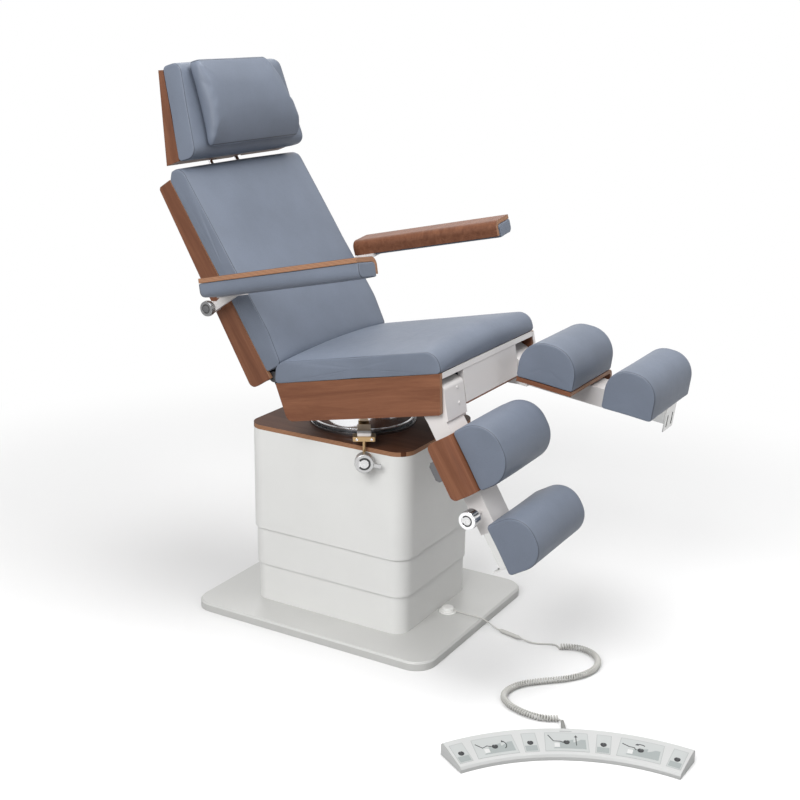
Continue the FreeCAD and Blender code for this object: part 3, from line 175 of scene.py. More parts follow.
def bump(tree, shader, heights, edge=0.0):
    """Chains bumps of (height, strength, distance) over softly rounded edges."""
    normal = None
    if edge:
        rounding = tree.nodes.new("ShaderNodeBevel")
        rounding.samples = 4
        rounding.inputs["Radius"].default_value = edge
        normal = rounding.outputs["Normal"]
    for height, strength, distance in heights:
        node = tree.nodes.new("ShaderNodeBump")
        node.inputs["Strength"].default_value = strength
        node.inputs["Distance"].default_value = distance
        tree.links.new(height, node.inputs["Height"])
        if normal is not None:
            tree.links.new(normal, node.inputs["Normal"])
        normal = node.outputs["Normal"]
    if normal is not None:
        tree.links.new(normal, shader.inputs["Normal"])


def paint(name, colour, roughness, metallic=0.0, grain=900, depth=0.00004, mottle=0.04, coat=0.0,
          edge=0.0012):
    """Powder coat, plastic or plated metal with a fine surface and slight unevenness."""
    material, tree, shader = new_material(name)
    spot = mapped(tree)
    broad = noise(tree, spot, 9, 5)
    dark = tuple(c * (1 - mottle) for c in colour)
    light = tuple(min(1, c * (1 + mottle * 0.6)) for c in colour)
    tree.links.new(ramp(tree, broad, [(0.3, dark), (0.7, light)]), shader.inputs["Base Color"])
    fine = noise(tree, spot, grain, 3)
    tree.links.new(span(tree, noise(tree, spot, 35, 5), roughness * 0.82, roughness * 1.18),
                   shader.inputs["Roughness"])
    shader.inputs["Metallic"].default_value = metallic
    shader.inputs["Coat Weight"].default_value = coat
    bump(tree, shader, [(fine, 0.35, depth)], edge)
    return material


def brushed(name, colour, turn):
    material, tree, shader = new_material(name)
    lines = noise(tree, mapped(tree, (3, 260, 260), turn), 8, 6, 0.7)
    tree.links.new(ramp(tree, lines, [(0.3, tuple(c * 0.88 for c in colour)), (0.7, colour)]),
                   shader.inputs["Base Color"])
    tree.links.new(span(tree, lines, 0.24, 0.4), shader.inputs["Roughness"])
    shader.inputs["Metallic"].default_value = 1.0
    bump(tree, shader, [(lines, 0.25, 0.00004)], 0.0008)
    return material


LEATHER = (0.152, 0.177, 0.226)


def leatherette():
    """Blue-gray grained artificial leather: pebbled grain, faint creases, a soft sheen and painted shade in the
    seam grooves.
    """
    material, tree, shader = new_material("leatherette")
    spot = mapped(tree)
    broad = noise(tree, spot, 5.5, 4)
    deep = tuple(c * 0.90 for c in LEATHER)
    pale = tuple(c * 1.08 for c in LEATHER)
    pebbles = voronoi(tree, spot, 760)
    shade = ramp(tree, broad, [(0.3, deep), (0.72, pale)])
    creases = ramp(tree, pebbles, [(0.0, (1, 1, 1)), (0.62, (0.9, 0.9, 0.9)),
                                   (1.0, (0.72, 0.72, 0.74))])
    blend = tree.nodes.new("ShaderNodeMix")
    blend.data_type = "RGBA"
    blend.blend_type = "MULTIPLY"
    blend.inputs[0].default_value = 0.55
    tree.links.new(shade, blend.inputs[6])
    tree.links.new(creases, blend.inputs[7])
    # Painted shade: the seam attribute darkens the seam grooves to near-black
    seam = tree.nodes.new("ShaderNodeAttribute")
    seam.attribute_name = "seam"
    dark = tuple(c * 0.16 for c in LEATHER)
    tree.links.new(mix(tree, seam.outputs["Fac"], blend.outputs[2], dark),
                   shader.inputs["Base Color"])
    tree.links.new(span(tree, noise(tree, spot, 60, 4), 0.44, 0.56), shader.inputs["Roughness"])
    shader.inputs["Specular IOR Level"].default_value = 0.35
    soft = noise(tree, spot, 22, 4, 0.6, 0.6)
    bump(tree, shader, [(soft, 0.22, 0.0012), (pebbles, 0.30, 0.00022)])
    return material


WALNUT = [(0.18, (0.082, 0.028, 0.013)), (0.42, (0.150, 0.055, 0.026)),
          (0.60, (0.205, 0.082, 0.041)), (0.85, (0.285, 0.126, 0.066))]
PLY_EDGE_DARK, PLY_EDGE_LIGHT = (0.180, 0.086, 0.045), (0.390, 0.205, 0.118)
PLY_LAYER = 1.6 * MM


def axis_turn(grain, face):
    """The rotation that carries the grain direction onto X and the face direction onto Z."""
    x = Vector(grain).normalized()
    z = (Vector(face) - x * Vector(face).dot(x)).normalized()
    return Matrix((x, z.cross(x), z))


def one_side(way):
    """An edge direction whose opposite side keeps its veneer, marked by a fourth part."""
    return way[:] + (1,)


def edge_mask(tree, edge_ways):
    """1 on the sides that face one of the edge directions."""
    coords = tree.nodes.new("ShaderNodeTexCoord")
    mask = None
    for way in edge_ways:
        dot = vector_maths(tree, "DOT_PRODUCT", coords.outputs["Normal"])
        dot.inputs[1].default_value = Vector(way[:3]).normalized()
        value = dot.outputs["Value"]
        if len(way) == 3:
            value = maths(tree, "ABSOLUTE", value, 0)
        facing = maths(tree, "GREATER_THAN", value, 0.8)
        mask = facing if mask is None else maths(tree, "MAXIMUM", mask, facing)
    return mask


def ply_layers(tree, turn, pores):
    """Pale and dark ply layers across the board's thickness."""
    split = tree.nodes.new("ShaderNodeSeparateXYZ")
    tree.links.new(mapped(tree, turn=turn), split.inputs[0])
    rate = math.tau / (2 * PLY_LAYER)
    wave = maths(tree, "SINE", maths(tree, "MULTIPLY", split.outputs["Z"], rate), 0)
    layers = maths(tree, "ADD", maths(tree, "MULTIPLY", wave, 0.35),
                   maths(tree, "MULTIPLY", pores, 0.9))
    return ramp(tree, layers, [(0.15, PLY_EDGE_DARK), (0.62, PLY_EDGE_LIGHT)])


def walnut(name, grain, face, edge_ways=(), scale=1.0, shade=1.0, gloss=0.28):
    """Oiled walnut veneer; sides that face an edge direction show pale ply layers."""
    material, tree, shader = new_material(name)
    turn = axis_turn(grain, face)
    long_way = mapped(tree, (1.6 * scale, 22 * scale, 22 * scale), turn)
    figure = noise(tree, long_way, 2.2, 6, 0.62, 0.9)
    pores = noise(tree, mapped(tree, (9, 330, 330), turn), 3.2, 4, 0.65)
    both = maths(tree, "ADD", maths(tree, "MULTIPLY", figure, 0.74),
                 maths(tree, "MULTIPLY", pores, 0.26))
    # shade scales the walnut tones down for a piece, as painted shade
    stops = [(place, tuple(c * shade for c in tone)) for place, tone in WALNUT]
    colour = ramp(tree, both, stops)
    if edge_ways:
        colour = mix(tree, edge_mask(tree, edge_ways), colour, ply_layers(tree, turn, pores))
    tree.links.new(colour, shader.inputs["Base Color"])
    tree.links.new(span(tree, pores, 0.42, 0.60), shader.inputs["Roughness"])
    shader.inputs["Specular IOR Level"].default_value = gloss
    bump(tree, shader, [(pores, 0.22, 0.00012), (figure, 0.10, 0.0003)], 0.0014)
    return material


# Side-view frames of the seat, the back, the headrest and the legs, in millimetres
class Side:
    def __init__(self, y, z, angle, front):
        turn = math.radians(angle)
        self.y, self.z = y, z
        self.s = (front * math.cos(turn), math.sin(turn))
        self.n = (-self.s[1], self.s[0]) if front > 0 else (self.s[1], -self.s[0])

    def at(self, x, s, n):
        return Vector((x, self.y + s * self.s[0] + n * self.n[0],
                       self.z + s * self.s[1] + n * self.n[1])) * MM

    def way(self, x, s, n):
        return Vector((x, s * self.s[0] + n * self.n[0], s * self.s[1] + n * self.n[1]))


seat = Side(103, 689, 11.7, -1)
back = Side(124, 707, 57.4, 1)
head = Side(412, 1238, 73.5, 1)
legs = {"right": Side(-360, 718, -59.3, -1), "left": Side(-360, 718, -7.2, -1)}


BOARD_WIDTH, BOARD_OUTER, BOARD_REACH = 86, (398, 1025.6), (232, 245)


def board_frame(side):
    """Origin, outward, long and upward ways of an arm shell, as its solid has them."""
    roll, slope = math.radians(6.6), math.radians(12.5)
    long_way = Vector((0, side * math.cos(slope), -side * math.sin(slope)))
    outward = Vector((side * math.cos(roll), 0, math.sin(roll)))
    outward = (outward - long_way * outward.dot(long_way)).normalized()
    outer = Vector((side * BOARD_OUTER[0], 0, BOARD_OUTER[1]))
    return (outer - outward * BOARD_WIDTH) * MM, outward, long_way, outward.cross(long_way)


# Mesh helpers
def link(name, mesh, material, body):
    piece = add_object(name, mesh)
    mesh.materials.append(material)
    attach(piece, body)
    return piece


def mesh_of(name, points, faces, smooth=True):
    mesh = bpy.data.meshes.new(name)
    mesh.from_pydata([tuple(p) for p in points], [], faces)
    mesh.validate()
    form = bmesh.new()
    form.from_mesh(mesh)
    bmesh.ops.recalc_face_normals(form, faces=form.faces)
    form.to_mesh(mesh)
    form.free()
    if smooth:
        mesh.polygons.foreach_set("use_smooth", [True] * len(mesh.polygons))
    return mesh


def lathe(name, origin, axis, profile, material, body, around=56):
    """A turned piece: (radius, height) pairs from the axis out and back, in millimetres."""
    way = Vector(axis).normalized()
    first = way.orthogonal().normalized()
    second = way.cross(first)
    points, faces = [], []
    for radius, height in profile:
        for i in range(around):
            angle = math.tau * i / around
            spoke = first * math.cos(angle) + second * math.sin(angle)
            points.append(Vector(origin) + way * height * MM + spoke * max(radius, 0.01) * MM)
    for ring in range(len(profile) - 1):
        for i in range(around):
            a, b = ring * around + i, ring * around + (i + 1) % around
            faces.append((a, b, b + around, a + around))
    faces.append(tuple(range(around)))
    faces.append(tuple(range((len(profile) - 1) * around, len(profile) * around)))
    mesh = mesh_of(name, points, faces)
    piece = link(name, mesh, material, body)
    sharpen(piece)
    return piece


SHARP_ANGLE = math.radians(35)


def sharpen(piece):
    """Keeps edges sharper than the angle crisp under smooth shading."""
    form = bmesh.new()
    form.from_mesh(piece.data)
    for edge in form.edges:
        if len(edge.link_faces) == 2 and edge.calc_face_angle(0) > SHARP_ANGLE:
            edge.smooth = False
    form.to_mesh(piece.data)
    form.free()


def plate(name, corner_points, depth, material, body, round_by=1.0):
    """A flat plate from a planar outline, thickened by a vector, with small rounded edges."""
    count = len(corner_points)
    points = [Vector(p) for p in corner_points] + [Vector(p) + Vector(depth) for p in corner_points]
    faces = [tuple(range(count)), tuple(range(2 * count - 1, count - 1, -1))]
    faces += [(i, (i + 1) % count, count + (i + 1) % count, count + i) for i in range(count)]
    piece = link(name, mesh_of(name, points, faces, False), material, body)
    if round_by:
        bevel = piece.modifiers.new("rounding", "BEVEL")
        bevel.width = round_by * MM
        bevel.segments = 3


def arc_points(corners, radii, steps=6):
    """A closed outline with rounded corners; every call with as many steps gives as many points."""
    out = []
    count = len(corners)
    for i in range(count):
        p, a, b = Vector(corners[i]), Vector(corners[i - 1]), Vector(corners[(i + 1) % count])
        u, w = (a - p).normalized(), (b - p).normalized()
        half = math.acos(max(-1, min(1, u.dot(w)))) / 2
        radius = radii[i]
        reach = radius / math.tan(half)
        centre = p + (u + w).normalized() * (radius / math.sin(half))
        start, end = p + u * reach - centre, p + w * reach - centre
        sweep = start.angle(end, 0)
        for k in range(steps + 1):
            t = k / steps
            if sweep < 1e-6:
                out.append(centre + start)
            else:
                turned = start * math.sin((1 - t) * sweep) + end * math.sin(t * sweep)
                out.append(centre + turned / math.sin(sweep))
    return out


def fill_edges(points, counts):
    """Adds points on the long stretches; counts holds how many go after each point."""
    out = []
    for i, p in enumerate(points):
        q = points[(i + 1) % len(points)]
        out.append(p)
        out += [p.lerp(q, k / (counts[i] + 1)) for k in range(1, counts[i] + 1)]
    return out


# Upholstered pieces: lofted skins with sewn end panels, swollen by a cloth simulation
SKIN_STEP = 9.0
# How far from the end each ring of a seam lies, and how far it is drawn in
SEAM_RINGS = ((0.0, 3.2), (1.0, 1.2), (2.4, 2.3), (3.8, 0.25), (8.0, 0.0))
# The ring drawn deepest into each seam, which also gets painted shade
SEAM_GROOVE = 2
CAP_SHARES = (0.93, 0.8, 0.62, 0.42, 0.2)
PINNED_HEIGHT = 1.5
SWELL_FRAMES = 20


def skin_stations(half):
    """Places along a skin from end to end, each with how far its ring is drawn in."""
    inner = half - SEAM_RINGS[-1][0]
    steps = max(4, int(2 * inner // SKIN_STEP))
    return ([(-half + d, inset) for d, inset in SEAM_RINGS]
            + [(-inner + 2 * inner * k / steps, 0.0) for k in range(1, steps)]
            + [(half - d, inset) for d, inset in reversed(SEAM_RINGS)])


def cap_end(points, faces, rim):
    """Closes one end of a skin with rings that shrink towards its middle."""
    outline = [points[i].copy() for i in rim]
    count = len(rim)
    centre = sum(outline, Vector()) / count
    previous = rim
    for share in CAP_SHARES:
        ring = list(range(len(points), len(points) + count))
        points += [centre.lerp(p, share) for p in outline]
        for i in range(count):
            j = (i + 1) % count
            faces.append((previous[i], previous[j], ring[j], ring[i]))
        previous = ring
    points.append(centre)
    faces += [(previous[i], previous[(i + 1) % count], len(points) - 1) for i in range(count)]


def padded_skin(name, node, body, place, half, section, base, cap, pressure=4.0,
                seam=1.0):
    """Lofts section(t) from t=-1 to 1 along the piece, sews in end panels and inflates it."""
    middle = section(0.0)
    counts = [max(0, int((middle[(i + 1) % len(middle)] - p).length // SKIN_STEP))
              for i, p in enumerate(middle)]
    stations = skin_stations(half)
    points, faces, pinned, seam_shade_ring = [], [], [], []
    for index, (a, inset) in enumerate(stations):
        outline = fill_edges(section(a / half), counts)
        ring_size = len(outline)
        centre = sum(outline, Vector((0, 0))) / ring_size
        from_end = min(index, len(stations) - 1 - index)
        sewn = from_end < len(SEAM_RINGS) - 1
        if from_end == SEAM_GROOVE:
            seam_shade_ring += range(len(points), len(points) + ring_size)
        for p in outline:
            q = p + (centre - p).normalized() * inset * seam
            q.y = max(q.y, base)
            if sewn or p.y <= base + PINNED_HEIGHT:
                pinned.append(len(points))
            points.append(place(a, q.x, q.y))
    for r in range(len(stations) - 1):
        for i in range(ring_size):
            p, q = r * ring_size + i, r * ring_size + (i + 1) % ring_size
            faces.append((p, q, q + ring_size, p + ring_size))
    for end in (0, len(stations) - 1):
        cap_end(points, faces, [end * ring_size + i for i in range(ring_size)])
    mesh = mesh_of(name, points, faces)
    # The seam attribute marks each groove ring for painted shade
    shade = mesh.attributes.new("seam", "FLOAT", "POINT")
    for index in seam_shade_ring:
        shade.data[index].value = 1.0
    piece = add_object(name, mesh)
    swell(piece, pinned, pressure, cap)
    mesh.materials.append(LEATHERETTE)
    smooth = piece.modifiers.new("skin", "SUBSURF")
    smooth.levels = 1
    smooth.render_levels = 1
    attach(piece, body)
    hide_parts(node)


def swell(piece, pinned, pressure, cap):
    """Inflates the skin as cloth with its base and seams held, and caps how far a point moves."""
    group = piece.vertex_groups.new(name="sewn")
    group.add(pinned, 1.0, "REPLACE")
    modifier = piece.modifiers.new("cloth", "CLOTH")
    cloth = modifier.settings
    cloth.quality = 5
    cloth.mass = 0.35
    cloth.tension_stiffness = 18
    cloth.compression_stiffness = 18
    cloth.bending_stiffness = 0.6
    cloth.use_pressure = True
    cloth.uniform_pressure_force = pressure
    cloth.vertex_group_mass = "sewn"
    cloth.effector_weights.gravity = 0
    modifier.collision_settings.use_self_collision = False
    modifier.collision_settings.use_collision = False
    modifier.point_cache.frame_start = 1
    modifier.point_cache.frame_end = SWELL_FRAMES
    scene = bpy.context.scene
    for number in range(1, SWELL_FRAMES + 1):
        scene.frame_set(number)
    evaluated = piece.evaluated_get(bpy.context.evaluated_depsgraph_get())
    count = len(piece.data.vertices)
    start, end = np.zeros(count * 3), np.zeros(count * 3)
    piece.data.vertices.foreach_get("co", start)
    evaluated.data.vertices.foreach_get("co", end)
    start, end = start.reshape(-1, 3), end.reshape(-1, 3)
    moved = end - start
    length = np.maximum(np.linalg.norm(moved, axis=1, keepdims=True), 1e-9)
    limit = cap * MM
    moved = np.nan_to_num(moved * (limit * np.tanh(length / limit) / length))
    piece.modifiers.remove(modifier)
    piece.data.vertices.foreach_set("co", (start + moved).ravel())
    scene.frame_set(1)


def side_place(side_frame, centre=0.0, narrowing=0.0, length=1.0):
    def place(a, s, n):
        return side_frame.at(centre + a * (1 - narrowing * s / length), s, n)
    return place


def crowned(corners, radii, crown, lifts, steps=6):
    """A section whose lifted corners rise towards the middle of the piece."""
    def section(t):
        rise = crown * (1 - t * t)
        lifted = [(s, n + rise * lift) for (s, n), lift in zip(corners, lifts)]
        return arc_points(lifted, radii, steps)
    return section


# Section corners of the cushions, along and off their boards, in millimetres
CUSHION_BASE, CUSHION_HALF = 0.4, 264
SEAT_CORNERS = [(-4, CUSHION_BASE), (497, CUSHION_BASE), (497, 55), (11, 55)]
BACK_CORNERS = [(10, CUSHION_BASE), (572, CUSHION_BASE), (588, 16), (588, 50), (100, 62), (10, 50)]
HEAD_CORNERS = [(-3, CUSHION_BASE), (245, CUSHION_BASE), (245, 57), (-3, 57)]
HEAD_HALF, HEAD_NARROWING, HEAD_LENGTH = 249, 0.125, 248
PILLOW_LOW, PILLOW_MIDDLE, PILLOW_HALF = 66.6, 128, 110.5
# Rows of the loose pillow: height up the headrest, left end, right end and thickness
PILLOW_ROWS = ((17, 30, 64, 110, 180, 226, 239), (-192, -200, -197, -194, -194, -196, -188),
               (186, 196, 189, 170, 138, 116, 108), (9, 22, 40, 47, 46, 38, 24))
ARM_PAD_TOP, ARM_PAD_PAST = 12.4, 4
ARM_PAD_CORNERS = [(12.5, ARM_PAD_TOP), (84, ARM_PAD_TOP), (84, 48.8), (12.5, 48.8)]
PAD_INNER = 14.5
# Leg pads: names of the piece, its node and its body, start, end, base, height and outer side
LEG_PADS = (("calf_support_", "calf_pad_", "leg_", 88, 246, 22.4, 106, 275.5),
            ("heel_support_", "heel_pad_", "leg_extension_", 326, 459, 6.3, 111, 295.5))
LEG_PAD_ARCH = 0.455


def add_trunk_cushions():
    section = crowned(SEAT_CORNERS, [9, 9, 38, 30], 11, [0, 0, 1, 1])
    padded_skin("seat_pad", "seat_cushion", "seat", side_place(seat), CUSHION_HALF, section,
                CUSHION_BASE, 7)
    section = crowned(BACK_CORNERS, [5, 9, 9, 28, 170, 13], 5, [0, 0, 0, 1, 1, 1])
    padded_skin("back_pad", "back_cushion", "backrest", side_place(back), CUSHION_HALF, section,
                CUSHION_BASE, 5)
    section = crowned(HEAD_CORNERS, [9, 9, 26, 26], 6, [0, 0, 1, 1])
    padded_skin("headrest_pad", "headrest_cushion", "headrest",
                side_place(head, 0, HEAD_NARROWING, HEAD_LENGTH), HEAD_HALF, section,
                CUSHION_BASE, 6)


def pillow_section(t):
    s = PILLOW_MIDDLE + PILLOW_HALF * t
    left, right, thickness = (float(np.interp(s, PILLOW_ROWS[0], row)) for row in PILLOW_ROWS[1:])
    corner = min(15, thickness * 0.42)
    low, high = PILLOW_LOW, PILLOW_LOW + thickness
    return arc_points([(left, low), (right, low), (right, high), (left, high)],
                      [corner * 0.6, corner * 0.6, corner, corner])


def pillow_place(a, x, n):
    return head.at(x, PILLOW_MIDDLE + a, n)


def board_place(side):
    """Places a point of an arm pad: along the board, across it and below its face."""
    origin, outward, long_way, up = board_frame(side)
    centre = side * (BOARD_REACH[1] - BOARD_REACH[0]) / 2

    def place(a, w, depth):
        return origin + (outward * w + long_way * (a + centre) - up * depth) * MM
    return place


def add_side_cushions(side, name):
    section = crowned(ARM_PAD_CORNERS, [9.5, 3, 16, 3], 0, [0, 0, 0, 0])
    padded_skin("arm_pad_" + name, "armrest_pad_" + name, "armrest_" + name, board_place(side),
                sum(BOARD_REACH) / 2 + ARM_PAD_PAST, section, ARM_PAD_TOP, 2.5, pressure=2.0)
    for pad, node, body, s0, s1, base, height, outer in LEG_PADS:
        arch, top = (s1 - s0) * LEG_PAD_ARCH, base + height
        section = crowned([(s0, base), (s1, base), (s1, top), (s0, top)], [8, 8, arch, arch], 0,
                          [0, 0, 0, 0], 12)
        middle = (PAD_INNER + outer) / 2
        padded_skin(pad + name, node + name, body + name, side_place(legs[name], side * middle),
                    outer - middle, section, base, 3, pressure=2.5)


def add_cushions():
    add_trunk_cushions()
    padded_skin("loose_pillow", "head_pillow", "headrest", pillow_place, PILLOW_HALF,
                pillow_section, PILLOW_LOW, 8, pressure=5.0, seam=0.4)
    for side, name in SIDES:
        add_side_cushions(side, name)


# The cord of the foot control, on the same points as its solids
LEAD = 0.004
GLAND_LEAD = [(14, -284, 31), (14, -304, 31), (13, -331, 30.5), (15, -358, 30),
              (17.5, -381, 27.5), (21, -401, 16), (22.6, -415.5, 5.8), (20, -428, 5.8)]
COIL_LEAD = [(5, -500, 5.8), (2.5, -512, 5.8), (2.5, -530, 3), (7, -547, 2.3), (15, -562, 2.3),
             (22.5, -576, 2.3), (26.5, -590, 2.5), (23.3, -600.7, 2.5)]
COIL_ROUTE = [(12, -612, 8.9), (27, -633, 8.9), (34.5, -666, 8.9), (25, -700, 8.9),
              (2, -724, 8.9), (-30, -737, 8.9), (-66, -737, 8.9), (-102, -723, 8.9),
              (-137, -698, 8.9), (-168, -665, 8.9), (-198, -632, 8.9), (-226, -608, 8.9),
              (-258, -596, 8.9), (-288, -594, 8.9), (-313, -605, 8.9), (-333, -629, 8.9),
              (-345, -664, 8.9), (-349, -700, 8.9), (-343, -732, 8.9), (-327, -757, 8.9)]
COIL_RADIUS = 6.4 * MM
COIL_TURNS = 96
COIL_TURN_POINTS = 12
COIL_WIRE = 0.0042
# The centre of the foot control's bow and the direction from it to the middle button, in degrees
CONTROL_CENTRE = (-889.8, -1074.4)
CONTROL_WAY = 28.75


def control_point(radius, angle, z):
    turn = math.radians(CONTROL_WAY + angle)
    x, y = CONTROL_CENTRE
    return Vector((x + radius * math.cos(turn), y + radius * math.sin(turn), z)) * MM


def spline_curve(name, points, radius, steps=10):
    data = bpy.data.curves.new(name, "CURVE")
    data.dimensions = "3D"
    data.bevel_depth = radius
    data.bevel_resolution = 3
    data.resolution_u = steps
    spline = data.splines.new("NURBS")
    spline.points.add(len(points) - 1)
    for spot, point in zip(spline.points, points):
        spot.co = (*point, 1)
    spline.order_u = 3
    spline.use_endpoint_u = True
    return data


def route_points(points):
    """Reads points along a route's NURBS spline from a curve with no bevel."""
    data = spline_curve("route", points, 0, 16)
    helper = add_object("route", data)
    mesh = bpy.data.meshes.new_from_object(helper)
    out = np.array([v.co[:] for v in mesh.vertices], float)
    bpy.data.objects.remove(helper)
    bpy.data.meshes.remove(mesh)
    return out


def curve_length(points):
    return float(np.linalg.norm(np.diff(points, axis=0), axis=1).sum())


def coil_points():
    """The helix round the coil's route, from its lowest point."""
    line = route_points([Vector(p) * MM for p in COIL_ROUTE])
    steps = np.concatenate([[0], np.cumsum(np.linalg.norm(np.diff(line, axis=0), axis=1))])
    up, look = Vector((0, 0, 1)), 0.002

    def spot(place):
        return np.array([np.interp(place, steps, line[:, k]) for k in range(3)])

    out = []
    for i in range(COIL_TURNS * COIL_TURN_POINTS + 1):
        place = steps[-1] * i / (COIL_TURNS * COIL_TURN_POINTS)
        way = Vector(spot(place + look) - spot(place - look)).normalized()
        across = way.cross(up).normalized()
        angle = math.tau * i / COIL_TURN_POINTS
        spoke = across * math.sin(angle) - up * math.cos(angle)
        out.append(Vector(spot(place)) + spoke * COIL_RADIUS)
    return out


def add_cords():
    lead = [Vector(p) * MM for p in GLAND_LEAD]
    data = spline_curve("gland_cord", lead, LEAD / 2)
    data.materials.append(CORD_GRAY)
    piece = add_object("gland_cord", data)
    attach(piece, "pedestal")
    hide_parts("gland_lead")
    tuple(lead[0])
    curve_length(route_points(lead))
    tail = [control_point(632, 0.4, 12.5), control_point(625, 0, 14), control_point(612, 0, 14)]
    points = [Vector(p) * MM for p in COIL_LEAD] + coil_points() + tail
    data = spline_curve("curly_cable", points, COIL_WIRE / 2, 3)
    data.materials.append(CORD_GRAY)
    piece = add_object("curly_cable", data)
    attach(piece, "pedestal")
    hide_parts("coil_lead", "curly_cord")
    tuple(points[0])
    curve_length(route_points(points))


# Foot control: label fields, generic pictograms and button rims on the sloping top
CONTROL_TOP = ((482.0, 14.0), (559.0, 33.6))
FIELD_INNER, FIELD_OUTER = 490.0, 546.0
BUTTON_CIRCLE, BUTTON_STEP = 518.0, 9.3
FIELD_LOW, FIELD_HIGH = FIELD_INNER - BUTTON_CIRCLE, FIELD_OUTER - BUTTON_CIRCLE
WIDE_HALF, NARROW_HALF = 50.0, 17.0
LABEL_MARGIN, TONE_MARGIN = 1.2, 3


def on_control(radius, angle, lift):
    (r0, z0), (r1, z1) = CONTROL_TOP
    return control_point(radius, angle, z0 + (z1 - z0) * (radius - r0) / (r1 - r0) + lift)


def field_spot(centre_angle, u, v, lift):
    """A spot on a label field, in millimetres from its centre: u along it, v outwards."""
    radius = BUTTON_CIRCLE + v
    return on_control(radius, centre_angle - math.degrees(u / radius), lift)


def surface_patch(name, centre_angle, outline, low, high, material):
    """A thin label patch that follows the housing's curved top."""
    outline = dense(outline)
    count = len(outline)
    top = [field_spot(centre_angle, u, v, high) for u, v in outline]
    bottom = [field_spot(centre_angle, u, v, low) for u, v in outline]
    centre = sum((Vector(p) for p in outline), Vector((0, 0))) / count
    points = top + bottom + [field_spot(centre_angle, centre.x, centre.y, high)]
    faces = [(i, (i + 1) % count, 2 * count) for i in range(count)]
    faces += [(i, (i + 1) % count, count + (i + 1) % count, count + i) for i in range(count)]
    faces.append(tuple(range(count, 2 * count)))
    link(name, mesh_of(name, points, faces, False), material, "pedestal")


STROKE_WIDTH, STROKE_LIFT = 1.9, 0.75


def stroke(name, centre_angle, route):
    """A drawn line on a label field."""
    points, faces = [], []
    for i, (u, v) in enumerate(route):
        a = Vector(route[max(i - 1, 0)])
        b = Vector(route[min(i + 1, len(route) - 1)])
        across = Vector((-(b - a).y, (b - a).x)).normalized() * STROKE_WIDTH / 2
        for sign in (-1, 1):
            for height in (STROKE_LIFT, STROKE_LIFT - 0.5):
                points.append(field_spot(centre_angle, u + across.x * sign, v + across.y * sign,
                                         height))
    for i in range(len(route) - 1):
        p, q = 4 * i, 4 * (i + 1)
        faces += [(p, p + 2, q + 2, q), (p + 1, q + 1, q + 3, p + 3), (p, q, q + 1, p + 1),
                  (p + 2, p + 3, q + 3, q + 2)]
    last = 4 * (len(route) - 1)
    faces += [(0, 1, 3, 2), (last, last + 2, last + 3, last + 1)]
    link(name, mesh_of(name, points, faces, False), BUTTON_BLACK, "pedestal")


def dense(outline, step=6.0):
    out = []
    for i, p in enumerate(outline):
        q = outline[(i + 1) % len(outline)]
        parts = max(1, int(math.dist(p, q) // step))
        out += [(p[0] + (q[0] - p[0]) * k / parts, p[1] + (q[1] - p[1]) * k / parts)
                for k in range(parts)]
    return out


def bend(cx, cy, radius, start, end, parts=9):
    """Points of an arc, between angles in degrees."""
    turns = [math.radians(start + (end - start) * k / parts) for k in range(parts + 1)]
    return [(cx + radius * math.cos(turn), cy + radius * math.sin(turn)) for turn in turns]


def box_outline(half, low, high):
    return [(-half, low), (half, low), (half, high), (-half, high)]


# Lines of the three wide fields' pictograms and the heads of their arrows
PICTOGRAM_LINES = {
    -2: [[(-44, 11), (-26, 4), (-16, 4), (-10, -2)], bend(-3, -4, 20, 60, 112)],
    0: [[(-42, 20), (-30, 2), (-14, 1), (-7, -3)], [(22, 16), (22, -10)]],
    2: [[(-44, 14), (-30, 0), (-18, 4), (-8, 0)], bend(17, 0, 11, 65, -65)],
}
PICTOGRAM_HEADS = {
    -2: [(-11, 17), (-15, 12), (-7, 12)],
    0: [(22, 20), (18, 14), (26, 14)],
    2: [(20, 14), (26, 9), (18, 8)],
}
PICTOGRAM_TONE = [(-30, -20), (44, -20), (44, 8), (20, 8), (-14, 0), (-30, -6)]
PICTOGRAM_BASE = [(-28, -16), (-16, -16), (-16, -4), (-28, -4)]


def add_pictogram(number, place, angle):
    surface_patch("label_tone_%d" % number, angle, PICTOGRAM_TONE, 0.1, 0.42, LABEL_TONE)
    surface_patch("pictogram_base_%d" % number, angle, PICTOGRAM_BASE, 0.2, 0.55,
                  LABEL_PALE)
    for k, route in enumerate(PICTOGRAM_LINES[place]):
        stroke("pictogram_%d_%d" % (number, k), angle, route)
    surface_patch("pictogram_head_%d" % number, angle, PICTOGRAM_HEADS[place], 0.2, 0.8,
                  BUTTON_BLACK)


def add_foot_control():
    for place in range(-3, 4):
        number, angle, wide = place + 4, place * BUTTON_STEP, place % 2 == 0
        half = WIDE_HALF if wide else NARROW_HALF
        rim = box_outline(half, FIELD_LOW, FIELD_HIGH)
        surface_patch("label_rim_%d" % number, angle, rim, -0.6, 0.12, RIM_GRAY)
        inner = box_outline(half - LABEL_MARGIN, FIELD_LOW + LABEL_MARGIN,
                            FIELD_HIGH - LABEL_MARGIN)
        surface_patch("label_%d" % number, angle, inner, -0.6, 0.3, LABEL)
        if wide:
            add_pictogram(number, place, angle)
        else:
            tone = box_outline(half - TONE_MARGIN, FIELD_LOW + TONE_MARGIN, -9)
            surface_patch("label_tone_%d" % number, angle, tone, 0.1, 0.42, LABEL_TONE)
    bar = box_outline(14, FIELD_HIGH + 3, FIELD_HIGH + 5)
    surface_patch("plain_bar", 0, bar, -0.4, 0.3, RIM_GRAY)


BUTTON_PROFILE = [(7.42, -4), (7.42, 1.2), (7.0, 2.2), (6.2, 2.8), (4.5, 3.1), (4.0, 2.7),
                  (2.5, 2.55), (0, 2.5)]


